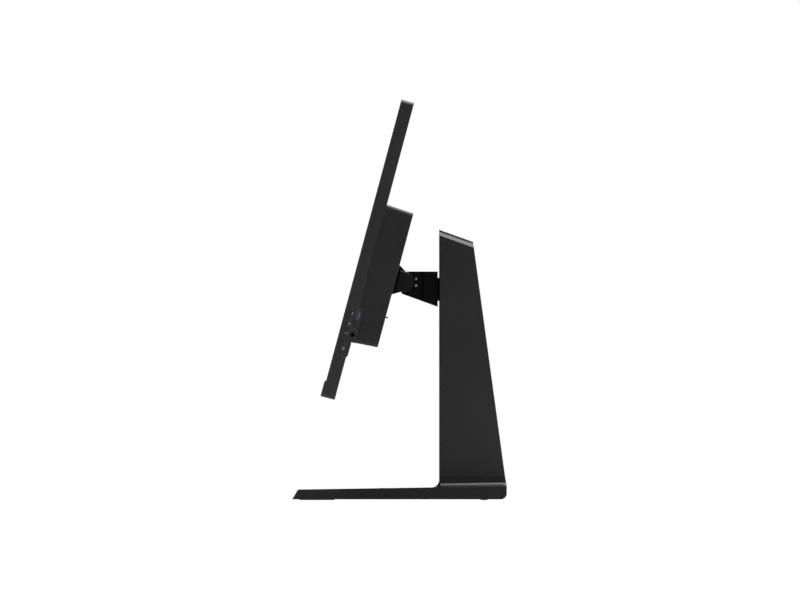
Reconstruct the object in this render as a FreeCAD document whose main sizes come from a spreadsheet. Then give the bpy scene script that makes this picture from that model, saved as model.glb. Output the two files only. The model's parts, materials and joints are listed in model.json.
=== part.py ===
import FreeCAD, Part
import math
import os
import re
import Sketcher

# An all in one computer: a tilting 27 inch display with the computer in a box on its back, carried by a
# lifting arm on a column. Lengths are in millimetres and angles in degrees. +Z is up, the screen faces -Y,
# and the origin is on the table under the middle of the base.
#
# Pieces of the stand are drawn where they stand. Pieces of the display are drawn with the screen upright and
# the tilt hinge at the origin, and their Placement leans them back and lifts them to the hinge.

Vector = FreeCAD.Vector
Rotation = FreeCAD.Rotation

doc = FreeCAD.newDocument("AllInOneComputer")
sheet = doc.addObject("Spreadsheet::Sheet", "Sizes")

# Every driving size has one row: its name, its value or a rule from the sizes above it, and what it is.
rows = [
    # tilt hinge and the display's pose
    ("hinge_y", 5.5, "hinge axis from the middle of the base"),
    ("hinge_z", 261.6, "hinge axis above the table"),
    ("lean", 15, "how far the screen leans back"),
    ("lift_down", 80, "travel of the arm below this pose"),
    ("lift_up", 20, "travel of the arm above this pose"),
    # display slab
    ("head_wide", 613, "width of the display"),
    ("head_rise", 210.8, "top edge above the hinge"),
    ("head_drop", 158.3, "bottom edge below the hinge"),
    ("glass_ahead", 59.7, "front plane ahead of the hinge"),
    ("slab_thick", 15.9, "thickness of the slab"),
    ("corner_round", 4.4, "radius of the display's corners"),
    ("edge_round", 1.1, "radius of the slab's rear edges"),
    ("shell_wall", 2, "wall of the slab's shells"),
    ("seam", 0.2, "gap at a seam between two shells"),
    # front frame, glass and panel
    ("frame_deep", 5.2, "depth of the front frame"),
    ("frame_lip", 2.2, "rim of the frame beside the glass"),
    ("ledge_wide", 2.6, "ledge the glass is bonded to"),
    ("ledge_thick", 1.2, "thickness of that ledge"),
    ("glass_sunk", 0.3, "glass below the rim"),
    ("glass_thick", 1.5, "cover glass"),
    ("glass_gap", 0.2, "gap round the glass"),
    ("cell_thick", 1.5, "liquid crystal cell"),
    ("guide_thick", 2.8, "light guide and films"),
    ("tray_thick", 1.2, "backlight tray"),
    ("stack_gap", 0.1, "gap between the panel's layers"),
    ("panel_wide", "=head_wide - 11.4", "width of the panel's layers"),
    ("panel_top", "=head_rise - 6.6", "panel's top edge above the hinge"),
    ("panel_low", "=head_drop - 25.6", "panel's bottom edge below the hinge"),
    # chin
    ("chin_tall", 20.3, "height of the chin"),
    ("chin_proud", 1.75, "chin ahead of the glass plane"),
    ("chin_slot_wide", 2.2, "sound slot width"),
    ("chin_slot_pitch", 4.4, "sound slot spacing"),
    ("chin_slot_count", 22, "sound slots each side"),
    ("speaker_long", 112, "speaker box length"),
    ("speaker_tall", 14.4, "speaker box height"),
    ("speaker_deep", 12.6, "speaker box depth"),
    ("speaker_x", "=head_wide / 2 - 74.5", "speaker centre from the middle"),
    ("speaker_cone", 5.2, "radius of a speaker's cone"),
    # computer box on the slab's back
    ("box_deep", 33.5, "depth of the box behind the slab"),
    ("box_rise", 84.4, "top of the box above the hinge"),
    ("box_drop", 86.2, "bottom of the box below the hinge"),
    ("box_inset", 1, "box in from the slab's sides"),
    ("box_draft", 3.7, "draft of the box's sides"),
    ("box_round", 1.2, "radius of the box's rear edges"),
    ("box_wall", 2.2, "wall of the box"),
    ("box_rim", 8, "slab wall left round the box opening"),
    ("ridge_tall", 20, "ridge below the box"),
    ("ridge_proud", 1.6, "ridge behind the slab"),
    ("vent_wide", 2.6, "vent slot width"),
    ("vent_long", 17, "length of the vent slots on top and below"),
    ("vent_pitch", 5.4, "vent slot spacing"),
    ("vent_count", 38, "vent slots in a row"),
    ("vent_start", 84, "first vent slot from the middle"),
    ("grille_tall", 25, "height of the rear grille's slots"),
    ("grille_top", 72, "top of the rear grille"),
    ("grille_pitch", 6, "rear grille spacing"),
    ("grille_count", 33, "rear grille slots each side"),
    ("door_x", -190, "service door centre"),
    ("door_z", -20, "service door centre"),
    ("door_wide", 128, "service door width"),
    ("door_tall", 84, "service door height"),
    ("door_thick", 1.6, "service door thickness"),
    ("door_lip", 3, "ledge under the service door"),
    ("case_screw_out", "=head_wide / 2 - 18.5", "outer case screws from the middle"),
    ("case_screw_in", 72, "inner case screws from the middle"),
    ("case_screw_low", 72, "lower case screws below the hinge"),
    ("case_screw_high", 30, "upper case screws above the hinge"),
    # chassis
    ("chassis_wide", 510, "steel chassis plate width"),
    ("chassis_tall", 236, "steel chassis plate height"),
    ("chassis_thick", 1.2, "steel chassis plate"),
    ("chassis_back", "=glass_ahead - slab_thick + 3", "rear face of the plate, ahead of the hinge"),
    ("pad_radius", 9, "pressed pads that carry the panel"),
    ("pad_x", 215, "pads from the middle"),
    ("pad_z", 95, "pads above and below"),
    # mount plate, latch and hinge
    ("mount_wide", 112, "mount plate, square"),
    ("mount_thick", 2.5, "mount plate"),
    ("mount_gap", 0.4, "gap round the mount plate"),
    ("mount_round", 4, "mount plate corners"),
    ("mount_grid", 100, "mount screws, square"),
    ("standoff_radius", 5, "standoffs"),
    ("standoff_bore", 1.9, "thread bore in a standoff"),
    ("standoff_thread", 12, "depth of that bore"),
    ("latch_z", 46.5, "release tab below the hinge"),
    ("latch_thick", 1.6, "release tab"),
    ("latch_wide", 16, "release tab"),
    ("latch_proud", 3.1, "release tab behind the box"),
    ("latch_travel", 4, "release tab travel"),
    ("latch_gap", 0.5, "gap round the release tab"),
    ("latch_plate_wide", 28, "latch plate behind the mount plate"),
    ("latch_plate_tall", 15, "latch plate height"),
    ("nose_wide", 44, "arm nose between the cheeks"),
    ("washer_gap", 0.4, "nose to washer"),
    ("washer_thick", 1.1, "friction washer"),
    ("washer_radius", 8, "friction washer"),
    ("cheek_thick", 4, "hinge cheek"),
    ("cheek_foot", 18.2, "half height of a cheek's foot"),
    ("cheek_radius", 12, "round end of a cheek"),
    ("cap_thick", 3.5, "plastic cap on a cheek"),
    ("cap_radius", 12.2, "round end of a cap"),
    ("cap_clear", 2, "cap's foot behind the box"),
    ("cap_round", 1.2, "rounded rim of a cap"),
    ("pin_radius", 4, "hinge pin"),
    ("pin_clear", 0.06, "pin running clearance"),
    # arm
    ("nose_radius", 9.3, "nose round the hinge"),
    ("arm_rise", 12.6, "arm's top above the hinge"),
    ("arm_start", 3.2, "front of the arm's flat top"),
    ("arm_heel_y", 2.5, "arm's lower corner ahead of the hinge"),
    ("arm_heel_z", 14.2, "arm's lower corner below the hinge"),
    ("arm_slope", 20, "slope of the arm's underside"),
    ("arm_end", 40.4, "rear end of the arm behind the hinge"),
    ("cover_start", 22.9, "front of the side covers"),
    ("cover_wide", 66, "width over the side covers"),
    ("cover_gap", 0.1, "side cover to nose"),
    ("arm_screw_y", 14.5, "side screws behind the hinge"),
    ("arm_screw_low", 4.3, "lower side screw"),
    ("arm_screw_high", 3.8, "upper side screw"),
    ("arm_screw_radius", 1.5, "side screw heads"),
    ("arm_screw_tall", 0.9, "side screw heads"),
    # carriage in the column
    ("neck_low", 22.7, "neck's underside below the hinge"),
    ("neck_high", 5, "neck's top above the hinge"),
    ("neck_wide", 40, "neck width"),
    ("carriage_wide", 66, "carriage width"),
    ("carriage_front", 54, "carriage front"),
    ("carriage_deep", 20, "carriage depth"),
    ("carriage_low", 33.6, "carriage bottom below the hinge"),
    ("carriage_high", 18, "carriage top above the hinge"),
    ("ear_deep", 16, "ear that the gas spring pushes"),
    ("ear_thick", 10, "ear thickness"),
    ("relief_radius", 1, "relief holes in the carriage"),
    ("relief_long", 10, "relief holes in the carriage"),
    ("relief_inset", 7, "relief holes in from the neck's side"),
    ("rail_radius", 4, "guide rails"),
    ("rail_x", 24, "guide rails from the middle"),
    ("rail_y", 64, "guide rails' depth place"),
    ("rail_top", 303, "guide rails' top"),
    ("bush_radius", 6, "glide bushes"),
    ("bush_long", 12, "glide bushes"),
    ("bush_clear", 0.1, "bush running clearance"),
    ("spring_y", 80, "gas spring's depth place"),
    ("spring_radius", 9, "gas spring tube"),
    ("spring_wall", 1.8, "gas spring tube wall"),
    ("spring_top", 146, "gas spring tube top"),
    ("spring_gland", 8, "gas spring gland"),
    ("rod_radius", 3.6, "gas spring rod"),
    ("rod_clear", 0.1, "rod running clearance"),
    ("rod_bottom", 114, "lower end of the rod"),
    # column
    ("column_wide", 96, "column width"),
    ("column_front", 47.6, "column front"),
    ("column_foot", 28.8, "bottom of the column shell"),
    ("column_foot_back", 126.7, "column back at its foot"),
    ("column_top_front", 324.5, "top of the cap at its front edge"),
    ("column_top_slope", 19.75, "slope of the column's top"),
    ("column_top_deep", 40.8, "depth of the column at its top"),
    ("column_wall", 2.6, "column wall"),
    ("column_edge", 1.6, "radius of the upright edges"),
    ("column_bevel", 4, "bevel between the sides and the top"),
    ("cap_tall", 2.4, "top cap above the shell"),
    ("cap_edge", 1.3, "radius round the top cap"),
    ("slot_gap", 1, "slot round the neck"),
    ("back_thick", 2.4, "rear cover thickness"),
    # base
    ("base_wide", 290, "base width"),
    ("base_front", 128.8, "base front edge"),
    ("base_back", 128.8, "base rear face"),
    ("base_lift", 0.8, "underside above the table"),
    ("base_front_top", 12.6, "top of the front edge"),
    ("base_slope", 0.9, "rise of the top towards the column"),
    ("base_draft", 31, "slope of the front faces"),
    ("base_corner", 47.6, "corner bevel in plan"),
    ("base_heel", 7, "radius of the rear lower edge"),
    ("base_cove", 9, "cove between base and column"),
    ("weight_inset", 14, "steel weight in from the edge"),
    ("weight_deep", 5.5, "pocket for the steel weight"),
    ("weight_gap", 0.4, "gap round the weight"),
    ("mat_front", -24.5, "tray mat front edge"),
    ("mat_back", 36, "tray mat rear edge"),
    ("mat_wide", 196, "tray mat width"),
    ("mat_sunk", 0.9, "tray recess depth"),
    ("mat_thick", 1.1, "tray mat"),
    ("mat_round", 6, "tray mat corners"),
    ("mat_gap", 0.3, "gap round the mat"),
    ("front_foot_y", -99, "front feet centre"),
    ("front_foot_long", 42, "front feet length"),
    ("front_foot_wide", 20, "front feet width"),
    ("front_foot_x", 62, "front feet from the middle"),
    ("rear_foot_y", 101.5, "rear feet centre"),
    ("rear_foot_long", 9, "rear feet length"),
    ("rear_foot_wide", 46, "rear feet width"),
    ("rear_foot_x", 104, "rear feet from the middle"),
    ("foot_sunk", 1, "feet set into the base"),
    ("base_screw_sunk", 0.5, "column screw heads above the underside"),
    ("base_screw_x", 34, "column screws from the middle"),
    ("base_screw_front", 60, "front column screws"),
    ("base_screw_back", 112, "rear column screws"),
    # side ports and power button on the +X side
    ("plate_front", 53.2, "port plate front edge, ahead of the hinge"),
    ("plate_rear", 37.6, "port plate rear edge, ahead of the hinge"),
    ("plate_top", 43, "port plate top, below the hinge"),
    ("plate_low", 103, "port plate bottom, below the hinge"),
    ("plate_thick", 1.8, "port plate"),
    ("plate_round", 2, "port plate corners"),
    ("port_y", -43.4, "side ports' middle"),
    ("usb_z", -52.8, "USB A port"),
    ("usb_c_z", -65.4, "USB C port"),
    ("audio_z", -77.2, "headset jack"),
    ("usb_wide", 13.1, "USB A shell"),
    ("usb_high", 5.7, "USB A shell"),
    ("usb_deep", 14, "USB A shell"),
    ("usb_wall", 0.4, "USB A shell wall"),
    ("tongue_thick", 1.9, "USB A tongue"),
    ("tongue_short", 1.4, "tongue behind the mouth"),
    ("usb_c_wide", 9, "USB C shell"),
    ("usb_c_high", 3.3, "USB C shell"),
    ("usb_c_deep", 8, "USB C shell"),
    ("usb_c_wall", 0.35, "USB C shell wall"),
    ("jack_bore", 1.8, "headset jack bore"),
    ("jack_ring", 3, "headset jack collar"),
    ("jack_deep", 12, "headset jack"),
    ("hole_gap", 0.25, "hole in a plate round a port"),
    ("plate_ledge", 1.4, "ledge behind the port plate's rim"),
    ("side_tongue_wide", 9, "USB A tongue on the side"),
    ("usb_c_blade_wide", 5.4, "USB C tongue"),
    ("usb_c_blade_thick", 0.7, "USB C tongue"),
    ("board_thick", 1.4, "circuit boards"),
    ("io_board_wide", 42, "side board"),
    ("io_board_tall", 44, "side board"),
    ("io_board_drop", 8, "side board below the headset jack"),
    ("button_y", -49.6, "power button"),
    ("button_z", -95.7, "power button"),
    ("button_radius", 2.6, "power button"),
    ("button_proud", 0.2, "power button beyond the side"),
    ("button_travel", 0.6, "power button travel"),
    ("button_gap", 0.15, "gap round the power button"),
    ("button_stem", 1.5, "stem behind the power button"),
    ("button_flange", 0.2, "button in from the plate's rear face"),
    ("switch_wide", 4.4, "power switch"),
    ("switch_tall", 3, "power switch"),
    ("switch_board", 16, "board under the power switch"),
    # rear ports along the underside of the box
    ("bay_x", -178, "port bay centre"),
    ("bay_wide", 176, "port bay width"),
    ("bay_front", "=glass_ahead - slab_thick - 4.8", "port bay front, ahead of the hinge"),
    ("bay_rear", "=glass_ahead - slab_thick - box_deep + 5.7", "port bay rear, ahead of the hinge"),
    ("bay_deep", 9, "port bay depth into the box"),
    ("bay_rim", 1, "port bracket beyond the bay's edges"),
    ("bracket_thick", 1, "port bracket"),
    ("shell_proud", 1.2, "port shells below the bracket"),
    ("shell_deep", 12, "port shells above the bracket"),
    ("shell_sheet", 0.5, "port shells' wall"),
    ("tongue_inset", 1.1, "tongues in from a shell's inner sides"),
    ("power_x", -74, "power inlet from the bay's centre"),
    ("power_wide", 12, "power inlet"),
    ("power_high", 7, "power inlet"),
    ("video_x", -50, "video port from the bay's centre"),
    ("video_wide", 15.4, "video port"),
    ("video_high", 6.2, "video port"),
    ("monitor_x", -27, "second video port from the bay's centre"),
    ("monitor_wide", 17.6, "second video port"),
    ("monitor_high", 6.6, "second video port"),
    ("network_x", -3, "network socket from the bay's centre"),
    ("network_wide", 16, "network socket"),
    ("network_high", 13.6, "network socket"),
    ("rear_usb_x", 20, "first rear USB port from the bay's centre"),
    ("rear_usb_pitch", 17, "rear USB spacing"),
    ("rear_usb_wide", 13.4, "rear USB ports"),
    ("rear_usb_high", 6, "rear USB ports"),
    # computer parts
    ("main_x", -178, "main board centre"),
    ("main_wide", 186, "main board width"),
    ("main_top", 72, "main board top"),
    ("main_low", 70, "main board bottom, below the hinge"),
    ("main_front", "=chassis_back - 4.8", "main board front face, ahead of the hinge"),
    ("post_x", 84, "board posts from the board's centre"),
    ("post_high", 62, "upper board posts above the hinge"),
    ("post_low", 60, "lower board posts below the hinge"),
    ("post_radius", 2.5, "board posts"),
    ("cell_x", -30, "clock battery from the board's centre"),
    ("cell_z", 52, "clock battery above the hinge"),
    ("cell_wide", 16, "clock battery holder"),
    ("cell_tall", 3, "clock battery holder"),
    ("plug_x", 62, "cable socket from the board's centre"),
    ("plug_z", -14, "cable socket from the hinge"),
    ("plug_wide", 34, "cable socket"),
    ("plug_high", 12, "cable socket"),
    ("plug_tall", 6, "cable socket"),
    ("chip_x", -128, "processor centre"),
    ("chip_z", 38, "processor centre"),
    ("chip_wide", 37.5, "processor"),
    ("chip_tall", 4.4, "processor"),
    ("spreader_wide", 62, "heat spreader"),
    ("spreader_thick", 3, "heat spreader"),
    ("pipe_radius", 2.8, "heat pipes"),
    ("pipe_gap", 9, "heat pipe spacing"),
    ("pipe_bend", 14, "heat pipe bend radius"),
    ("pipe_drop", 4, "first heat pipe below the processor's centre"),
    ("pipe_inset", 4, "heat pipes' ends in from the blower's side"),
    ("pipe_lead", 20, "heat pipes' rise beside the blower"),
    ("pipe_space", 0.4, "half the space between the pipes on the fins"),
    ("blower_x", 128, "blower centre"),
    ("blower_z", 0, "blower centre"),
    ("blower_radius", 40, "blower case radius"),
    ("blower_deep", 17, "blower depth"),
    ("blower_front", "=chassis_back - 10.8", "blower front face, ahead of the hinge"),
    ("blower_wall", 1.5, "blower case wall"),
    ("wheel_radius", 33, "blower wheel"),
    ("wheel_hub", 17, "blower wheel hub"),
    ("wheel_deep", 12, "blower wheel depth"),
    ("wheel_lift", 1, "gap under the blower wheel"),
    ("inlet_ring", 5, "blower's inlet inside the wheel's rim"),
    ("duct_trim", 0.25, "blower outlet in from the case's sides"),
    ("blade_count", 29, "blower blades"),
    ("blade_thick", 0.9, "blower blades"),
    ("fin_count", 30, "cooling fins"),
    ("fin_thick", 0.4, "cooling fins"),
    ("fin_deep", 16, "cooling fins"),
    ("fin_tall", 15, "cooling fins"),
    ("fin_space", 2, "cooling fins to the blower case"),
    ("memory_wide", 67.6, "memory module"),
    ("memory_tall", 30, "memory module"),
    ("memory_pitch", 36, "memory module spacing"),
    ("memory_thick", 1.2, "memory module"),
    ("memory_lift", 3, "memory modules above the board"),
    ("memory_shift", 15, "memory modules from the door's centre"),
    ("card_shift", 44, "solid state drive from the door's centre"),
    ("card_drop", 6, "solid state drive below the door's centre"),
    ("card_wide", 22, "solid state drive"),
    ("card_long", 80, "solid state drive"),
    ("card_thick", 1, "solid state drive"),
    ("card_lift", 2.4, "solid state drive above the board"),
    ("drive_wide", 70, "disk drive"),
    ("drive_tall", 100, "disk drive"),
    ("drive_thick", 7, "disk drive"),
    ("drive_x", 226, "disk drive centre"),
    ("drive_z", 8, "disk drive centre"),
    ("drive_round", 1.5, "disk drive corners"),
    ("caddy_front", "=chassis_back - 10.8", "drive caddy front face, ahead of the hinge"),
    ("caddy_floor", 1.2, "drive caddy's floor and rim"),
    ("caddy_wall", 2, "drive caddy's walls"),
    ("caddy_gap", 0.2, "gap round the disk drive"),
    ("caddy_post", 30, "caddy posts from the drive's centre"),
    ("caddy_post_radius", 4, "caddy posts"),
    # camera
    ("camera_wide", 36, "camera module"),
    ("camera_tall", 3.4, "camera module"),
    ("camera_deep", 4.2, "camera module"),
    ("lens_radius", 1.3, "camera lens"),
    ("lens_sunk", 0.8, "camera lens recess"),
    ("camera_space", 2, "gap beside the camera module"),
    ("camera_lift", 0.5, "camera module above the panel"),
    ("stem_slot_deep", 1.6, "slot for the shutter's stem"),
    ("stem_slot_tall", 4, "slot for the shutter's stem"),
    ("shutter_wide", 8, "camera shutter"),
    ("shutter_thick", 0.4, "camera shutter"),
    ("shutter_travel", 6, "camera shutter travel"),
    ("shutter_rest", -6, "camera shutter centre when open"),
    ("shutter_stem", 4, "stem through the frame's top"),
    ("shutter_knob", 7, "knob in the frame's top"),
    ("shutter_knob_tall", 0.9, "knob in the frame's top"),
    ("shutter_knob_deep", 0.6, "knob beyond each face of the shutter"),
    ("shutter_gap", 0.3, "gap round the shutter"),
    # screws
    ("screw_head", 2.9, "small screw head radius"),
    ("screw_head_tall", 1.5, "small screw head"),
    ("screw_shank", 1.45, "small screw shank radius"),
    ("screw_long", 6, "small screw shank length"),
    ("screw_socket", 1.4, "driver socket radius"),
    ("screw_socket_deep", 0.9, "driver socket"),
    ("screw_sunk", 0.3, "small screw heads below the surface"),
    ("big_head", 4.6, "column screw head radius"),
    ("big_head_tall", 3, "column screw head"),
    ("big_shank", 2.4, "column screw shank radius"),
    ("big_long", 14, "column screw shank length"),
    ("big_socket", 2.3, "column screw socket radius"),
    ("hole_clear", 0.15, "hole round a screw"),
]
for line, (alias, value, meaning) in enumerate(rows, start=1):
    sheet.set("A%d" % line, alias)
    sheet.set("B%d" % line, str(value))
    sheet.set("C%d" % line, meaning)
    sheet.setAlias("B%d" % line, alias)
doc.recompute()
aliases = {row[0] for row in rows}

# Places that several pieces share, as expressions in the sheet's names. The display's y grows rearwards.
front_y = "(-glass_ahead)"
frame_back_y = "(frame_deep - glass_ahead)"
slab_back_y = "(slab_thick - glass_ahead)"
box_back_y = "(slab_thick + box_deep - glass_ahead)"
chin_top_z = "(chin_tall - head_drop)"
box_taper = "(box_deep * tan(box_draft))"
box_half = "(head_wide / 2 - box_inset)"
side_x = "(head_wide / 2)"
glass_front_y = "(glass_sunk - glass_ahead)"
glass_back_y = "(glass_sunk + glass_thick - glass_ahead)"
cell_back_y = "(%s + stack_gap + cell_thick)" % glass_back_y
guide_back_y = "(%s + stack_gap + guide_thick)" % cell_back_y
tray_back_y = "(%s + stack_gap + tray_thick)" % guide_back_y
cheek_in_x = "(nose_wide / 2 + washer_gap + washer_thick)"
cheek_out_x = "(%s + cheek_thick)" % cheek_in_x
column_back_top = "(column_front + column_top_deep)"
column_top_fall = "(column_top_deep * tan(column_top_slope))"
shell_top_front = "(column_top_front - cap_tall / cos(column_top_slope))"
base_heading = "(base_front - (base_front_top - base_lift) * tan(base_draft))"
upright = "create(<<placement>>; create(<<vector>>; 0; hinge_y; hinge_z); " \
    "create(<<rotation>>; create(<<vector>>; 1; 0; 0); -lean))"

# Rotations that lay a cylinder, drawn along +Z, along each axis.
turns = {"x": Rotation(Vector(0, 1, 0), 90), "y": Rotation(Vector(1, 0, 0), -90), "z": Rotation()}
parts = []


def linked(text):
    """The expression with each of the sheet's names turned into a reference to its cell."""
    def cell(word):
        return "Sizes." + word[0] if word[0] in aliases else word[0]
    return re.sub(r"[a-z][a-z_0-9]*", cell, text)


def number(text):
    return float(sheet.evalExpression(linked(text)))


def bind(thing, **rules):
    for name, text in rules.items():
        thing.setExpression(name, linked(text))


def place(thing, spot, turn=None):
    """Put a primitive at a point given by three expressions."""
    thing.Placement = FreeCAD.Placement(Vector(), turn or Rotation())
    for axis, text in zip("xyz", spot):
        thing.setExpression("Placement.Base." + axis, linked(text))


def part_of_stand(thing, label):
    thing.Label = label
    parts.append(thing)
    return thing


def part_of_display(thing, label, spot=None, turn=None):
    """Name a piece of the display, and lean it back with the rest of the display."""
    rule = upright
    if spot:
        x, y, z = spot
        rule += " * create(<<placement>>; create(<<vector>>; %s; %s; %s); create(<<rotation>>; " % (x, y, z)
        rule += "create(<<vector>>; %s; %s; %s); %s))" % turn
    thing.setExpression("Placement", linked(rule))
    return part_of_stand(thing, label)


def new_body(name):
    return doc.addObject("PartDesign::Body", name)


def origin(body, role):
    return [feature for feature in body.Origin.OriginFeatures if feature.Role == role][0]


def about(middle, width):
    """The two ends of a length about its middle."""
    return "%s - (%s) / 2" % (middle, width), "%s + (%s) / 2" % (middle, width)


def block(body, x, y, z, cut=False):
    """A box between two ends along each axis, added to the body or cut from it."""
    feature = body.newObject("PartDesign::SubtractiveBox" if cut else "PartDesign::AdditiveBox", "Block")
    place(feature, (x[0], y[0], z[0]))
    for name, (low, high) in zip(("Length", "Width", "Height"), (x, y, z)):
        bind(feature, **{name: "%s - (%s)" % (high, low)})
    return feature


def rod(body, along, spot, length, radius, cut=False):
    """A cylinder that starts at a point and runs along an axis."""
    kind = "PartDesign::SubtractiveCylinder" if cut else "PartDesign::AdditiveCylinder"
    feature = body.newObject(kind, "Rod")
    place(feature, spot, turns[along])
    bind(feature, Radius=radius, Height=length)
    return feature


def outline(body, plane, points, offset):
    """A closed sketch of straight edges on one of the body's origin planes."""
    sketch = body.newObject("Sketcher::SketchObject", "Outline")
    sketch.AttachmentSupport = (origin(body, plane + "_Plane"), [""])
    sketch.MapMode = "FlatFace"
    sketch.setExpression("AttachmentOffset.Base.z", linked(offset))
    places = [Vector(number(x), number(y), 0) for x, y in points]
    for here, there in zip(places, places[1:] + places[:1]):
        sketch.addGeometry(Part.LineSegment(here, there))
    for edge in range(len(points)):
        sketch.addConstraint(Sketcher.Constraint("Coincident", edge, 2, (edge + 1) % len(points), 1))
    for edge, (texts, spot) in enumerate(zip(points, places)):
        for kind, text, value in zip(("DistanceX", "DistanceY"), texts, spot):
            row = sketch.addConstraint(Sketcher.Constraint(kind, -1, 1, edge, 1, value))
            sketch.setExpression("Constraints[%d]" % row, linked(text))
    return sketch


def prism(body, plane, points, ends, cut=False):
    """An outline carried between two ends along the axis that its plane faces."""
    low, high = ends
    sketch = outline(body, plane, points, "-(%s)" % high if plane == "XZ" else low)
    feature = body.newObject("PartDesign::Pocket" if cut else "PartDesign::Pad", "Prism")
    feature.Profile = sketch
    feature.Reversed = cut
    bind(feature, Length="%s - (%s)" % (high, low))
    return feature


def row_of(body, feature, axis, count, pitch):
    """Repeat a feature along one of the body's axes."""
    pattern = body.newObject("PartDesign::LinearPattern", "Row")
    pattern.Originals = [feature]
    pattern.Direction = (origin(body, axis + "_Axis"), [""])
    bind(pattern, Occurrences=count, Length="(%s - 1) * (%s)" % (count, pitch))
    body.Tip = pattern
    return pattern


def on_plane(edge, axis, value):
    """Whether an edge lies in the plane where one coordinate has this value."""
    box = edge.BoundBox
    low, high = getattr(box, axis.upper() + "Min"), getattr(box, axis.upper() + "Max")
    return abs(low - value) < 0.01 and abs(high - value) < 0.01


def runs_along(edge, axis):
    """Whether an edge is parallel to an axis."""
    box = edge.BoundBox
    others = [name for name in "xyz" if name != axis]
    return all(getattr(box, name.upper() + "Length") < 0.01 for name in others)


def chosen(body, wanted):
    doc.recompute()
    return ["Edge%d" % (place + 1) for place, edge in enumerate(body.Tip.Shape.Edges) if wanted(edge)]


def rounded(body, radius, wanted):
    """Round the edges that a test picks out."""
    names = chosen(body, wanted)
    feature = body.newObject("PartDesign::Fillet", "Round")
    feature.Base = (body.Tip if body.Tip != feature else feature.BaseFeature, names)
    bind(feature, Radius=radius)
    return feature


def bevelled(body, size, wanted):
    """Bevel the edges that a test picks out."""
    names = chosen(body, wanted)
    feature = body.newObject("PartDesign::Chamfer", "Bevel")
    feature.Base = (body.Tip if body.Tip != feature else feature.BaseFeature, names)
    bind(feature, Size=size)
    return feature


def corners(axis_a, values_a, axis_b, values_b):
    """A test for the edges that pass through the corners where two coordinates have given values."""
    def wanted(edge):
        first = any(on_plane(edge, axis_a, a) for a in values_a)
        return first and any(on_plane(edge, axis_b, b) for b in values_b)
    return wanted


def group(label, pieces, display=True):
    """Several separate solids of one kind, kept as one piece."""
    compound = doc.addObject("Part::Compound", label)
    compound.Links = pieces
    return part_of_display(compound, label) if display else part_of_stand(compound, label)


def solid_block(x, y, z):
    feature = doc.addObject("Part::Box", "Box")
    place(feature, (x[0], y[0], z[0]))
    for name, (low, high) in zip(("Length", "Width", "Height"), (x, y, z)):
        bind(feature, **{name: "%s - (%s)" % (high, low)})
    return feature


def solid_rod(along, spot, length, radius):
    feature = doc.addObject("Part::Cylinder", "Cylinder")
    place(feature, spot, turns[along])
    bind(feature, Radius=radius, Height=length)
    return feature


def without(base, *tools):
    for tool in tools:
        cut = doc.addObject("Part::Cut", "Cut")
        cut.Base = base
        cut.Tool = tool
        base = cut
    return base


def together(*shapes):
    fuse = doc.addObject("Part::MultiFuse", "Fuse")
    fuse.Shapes = list(shapes)
    return fuse


# ---- the stand ----

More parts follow.
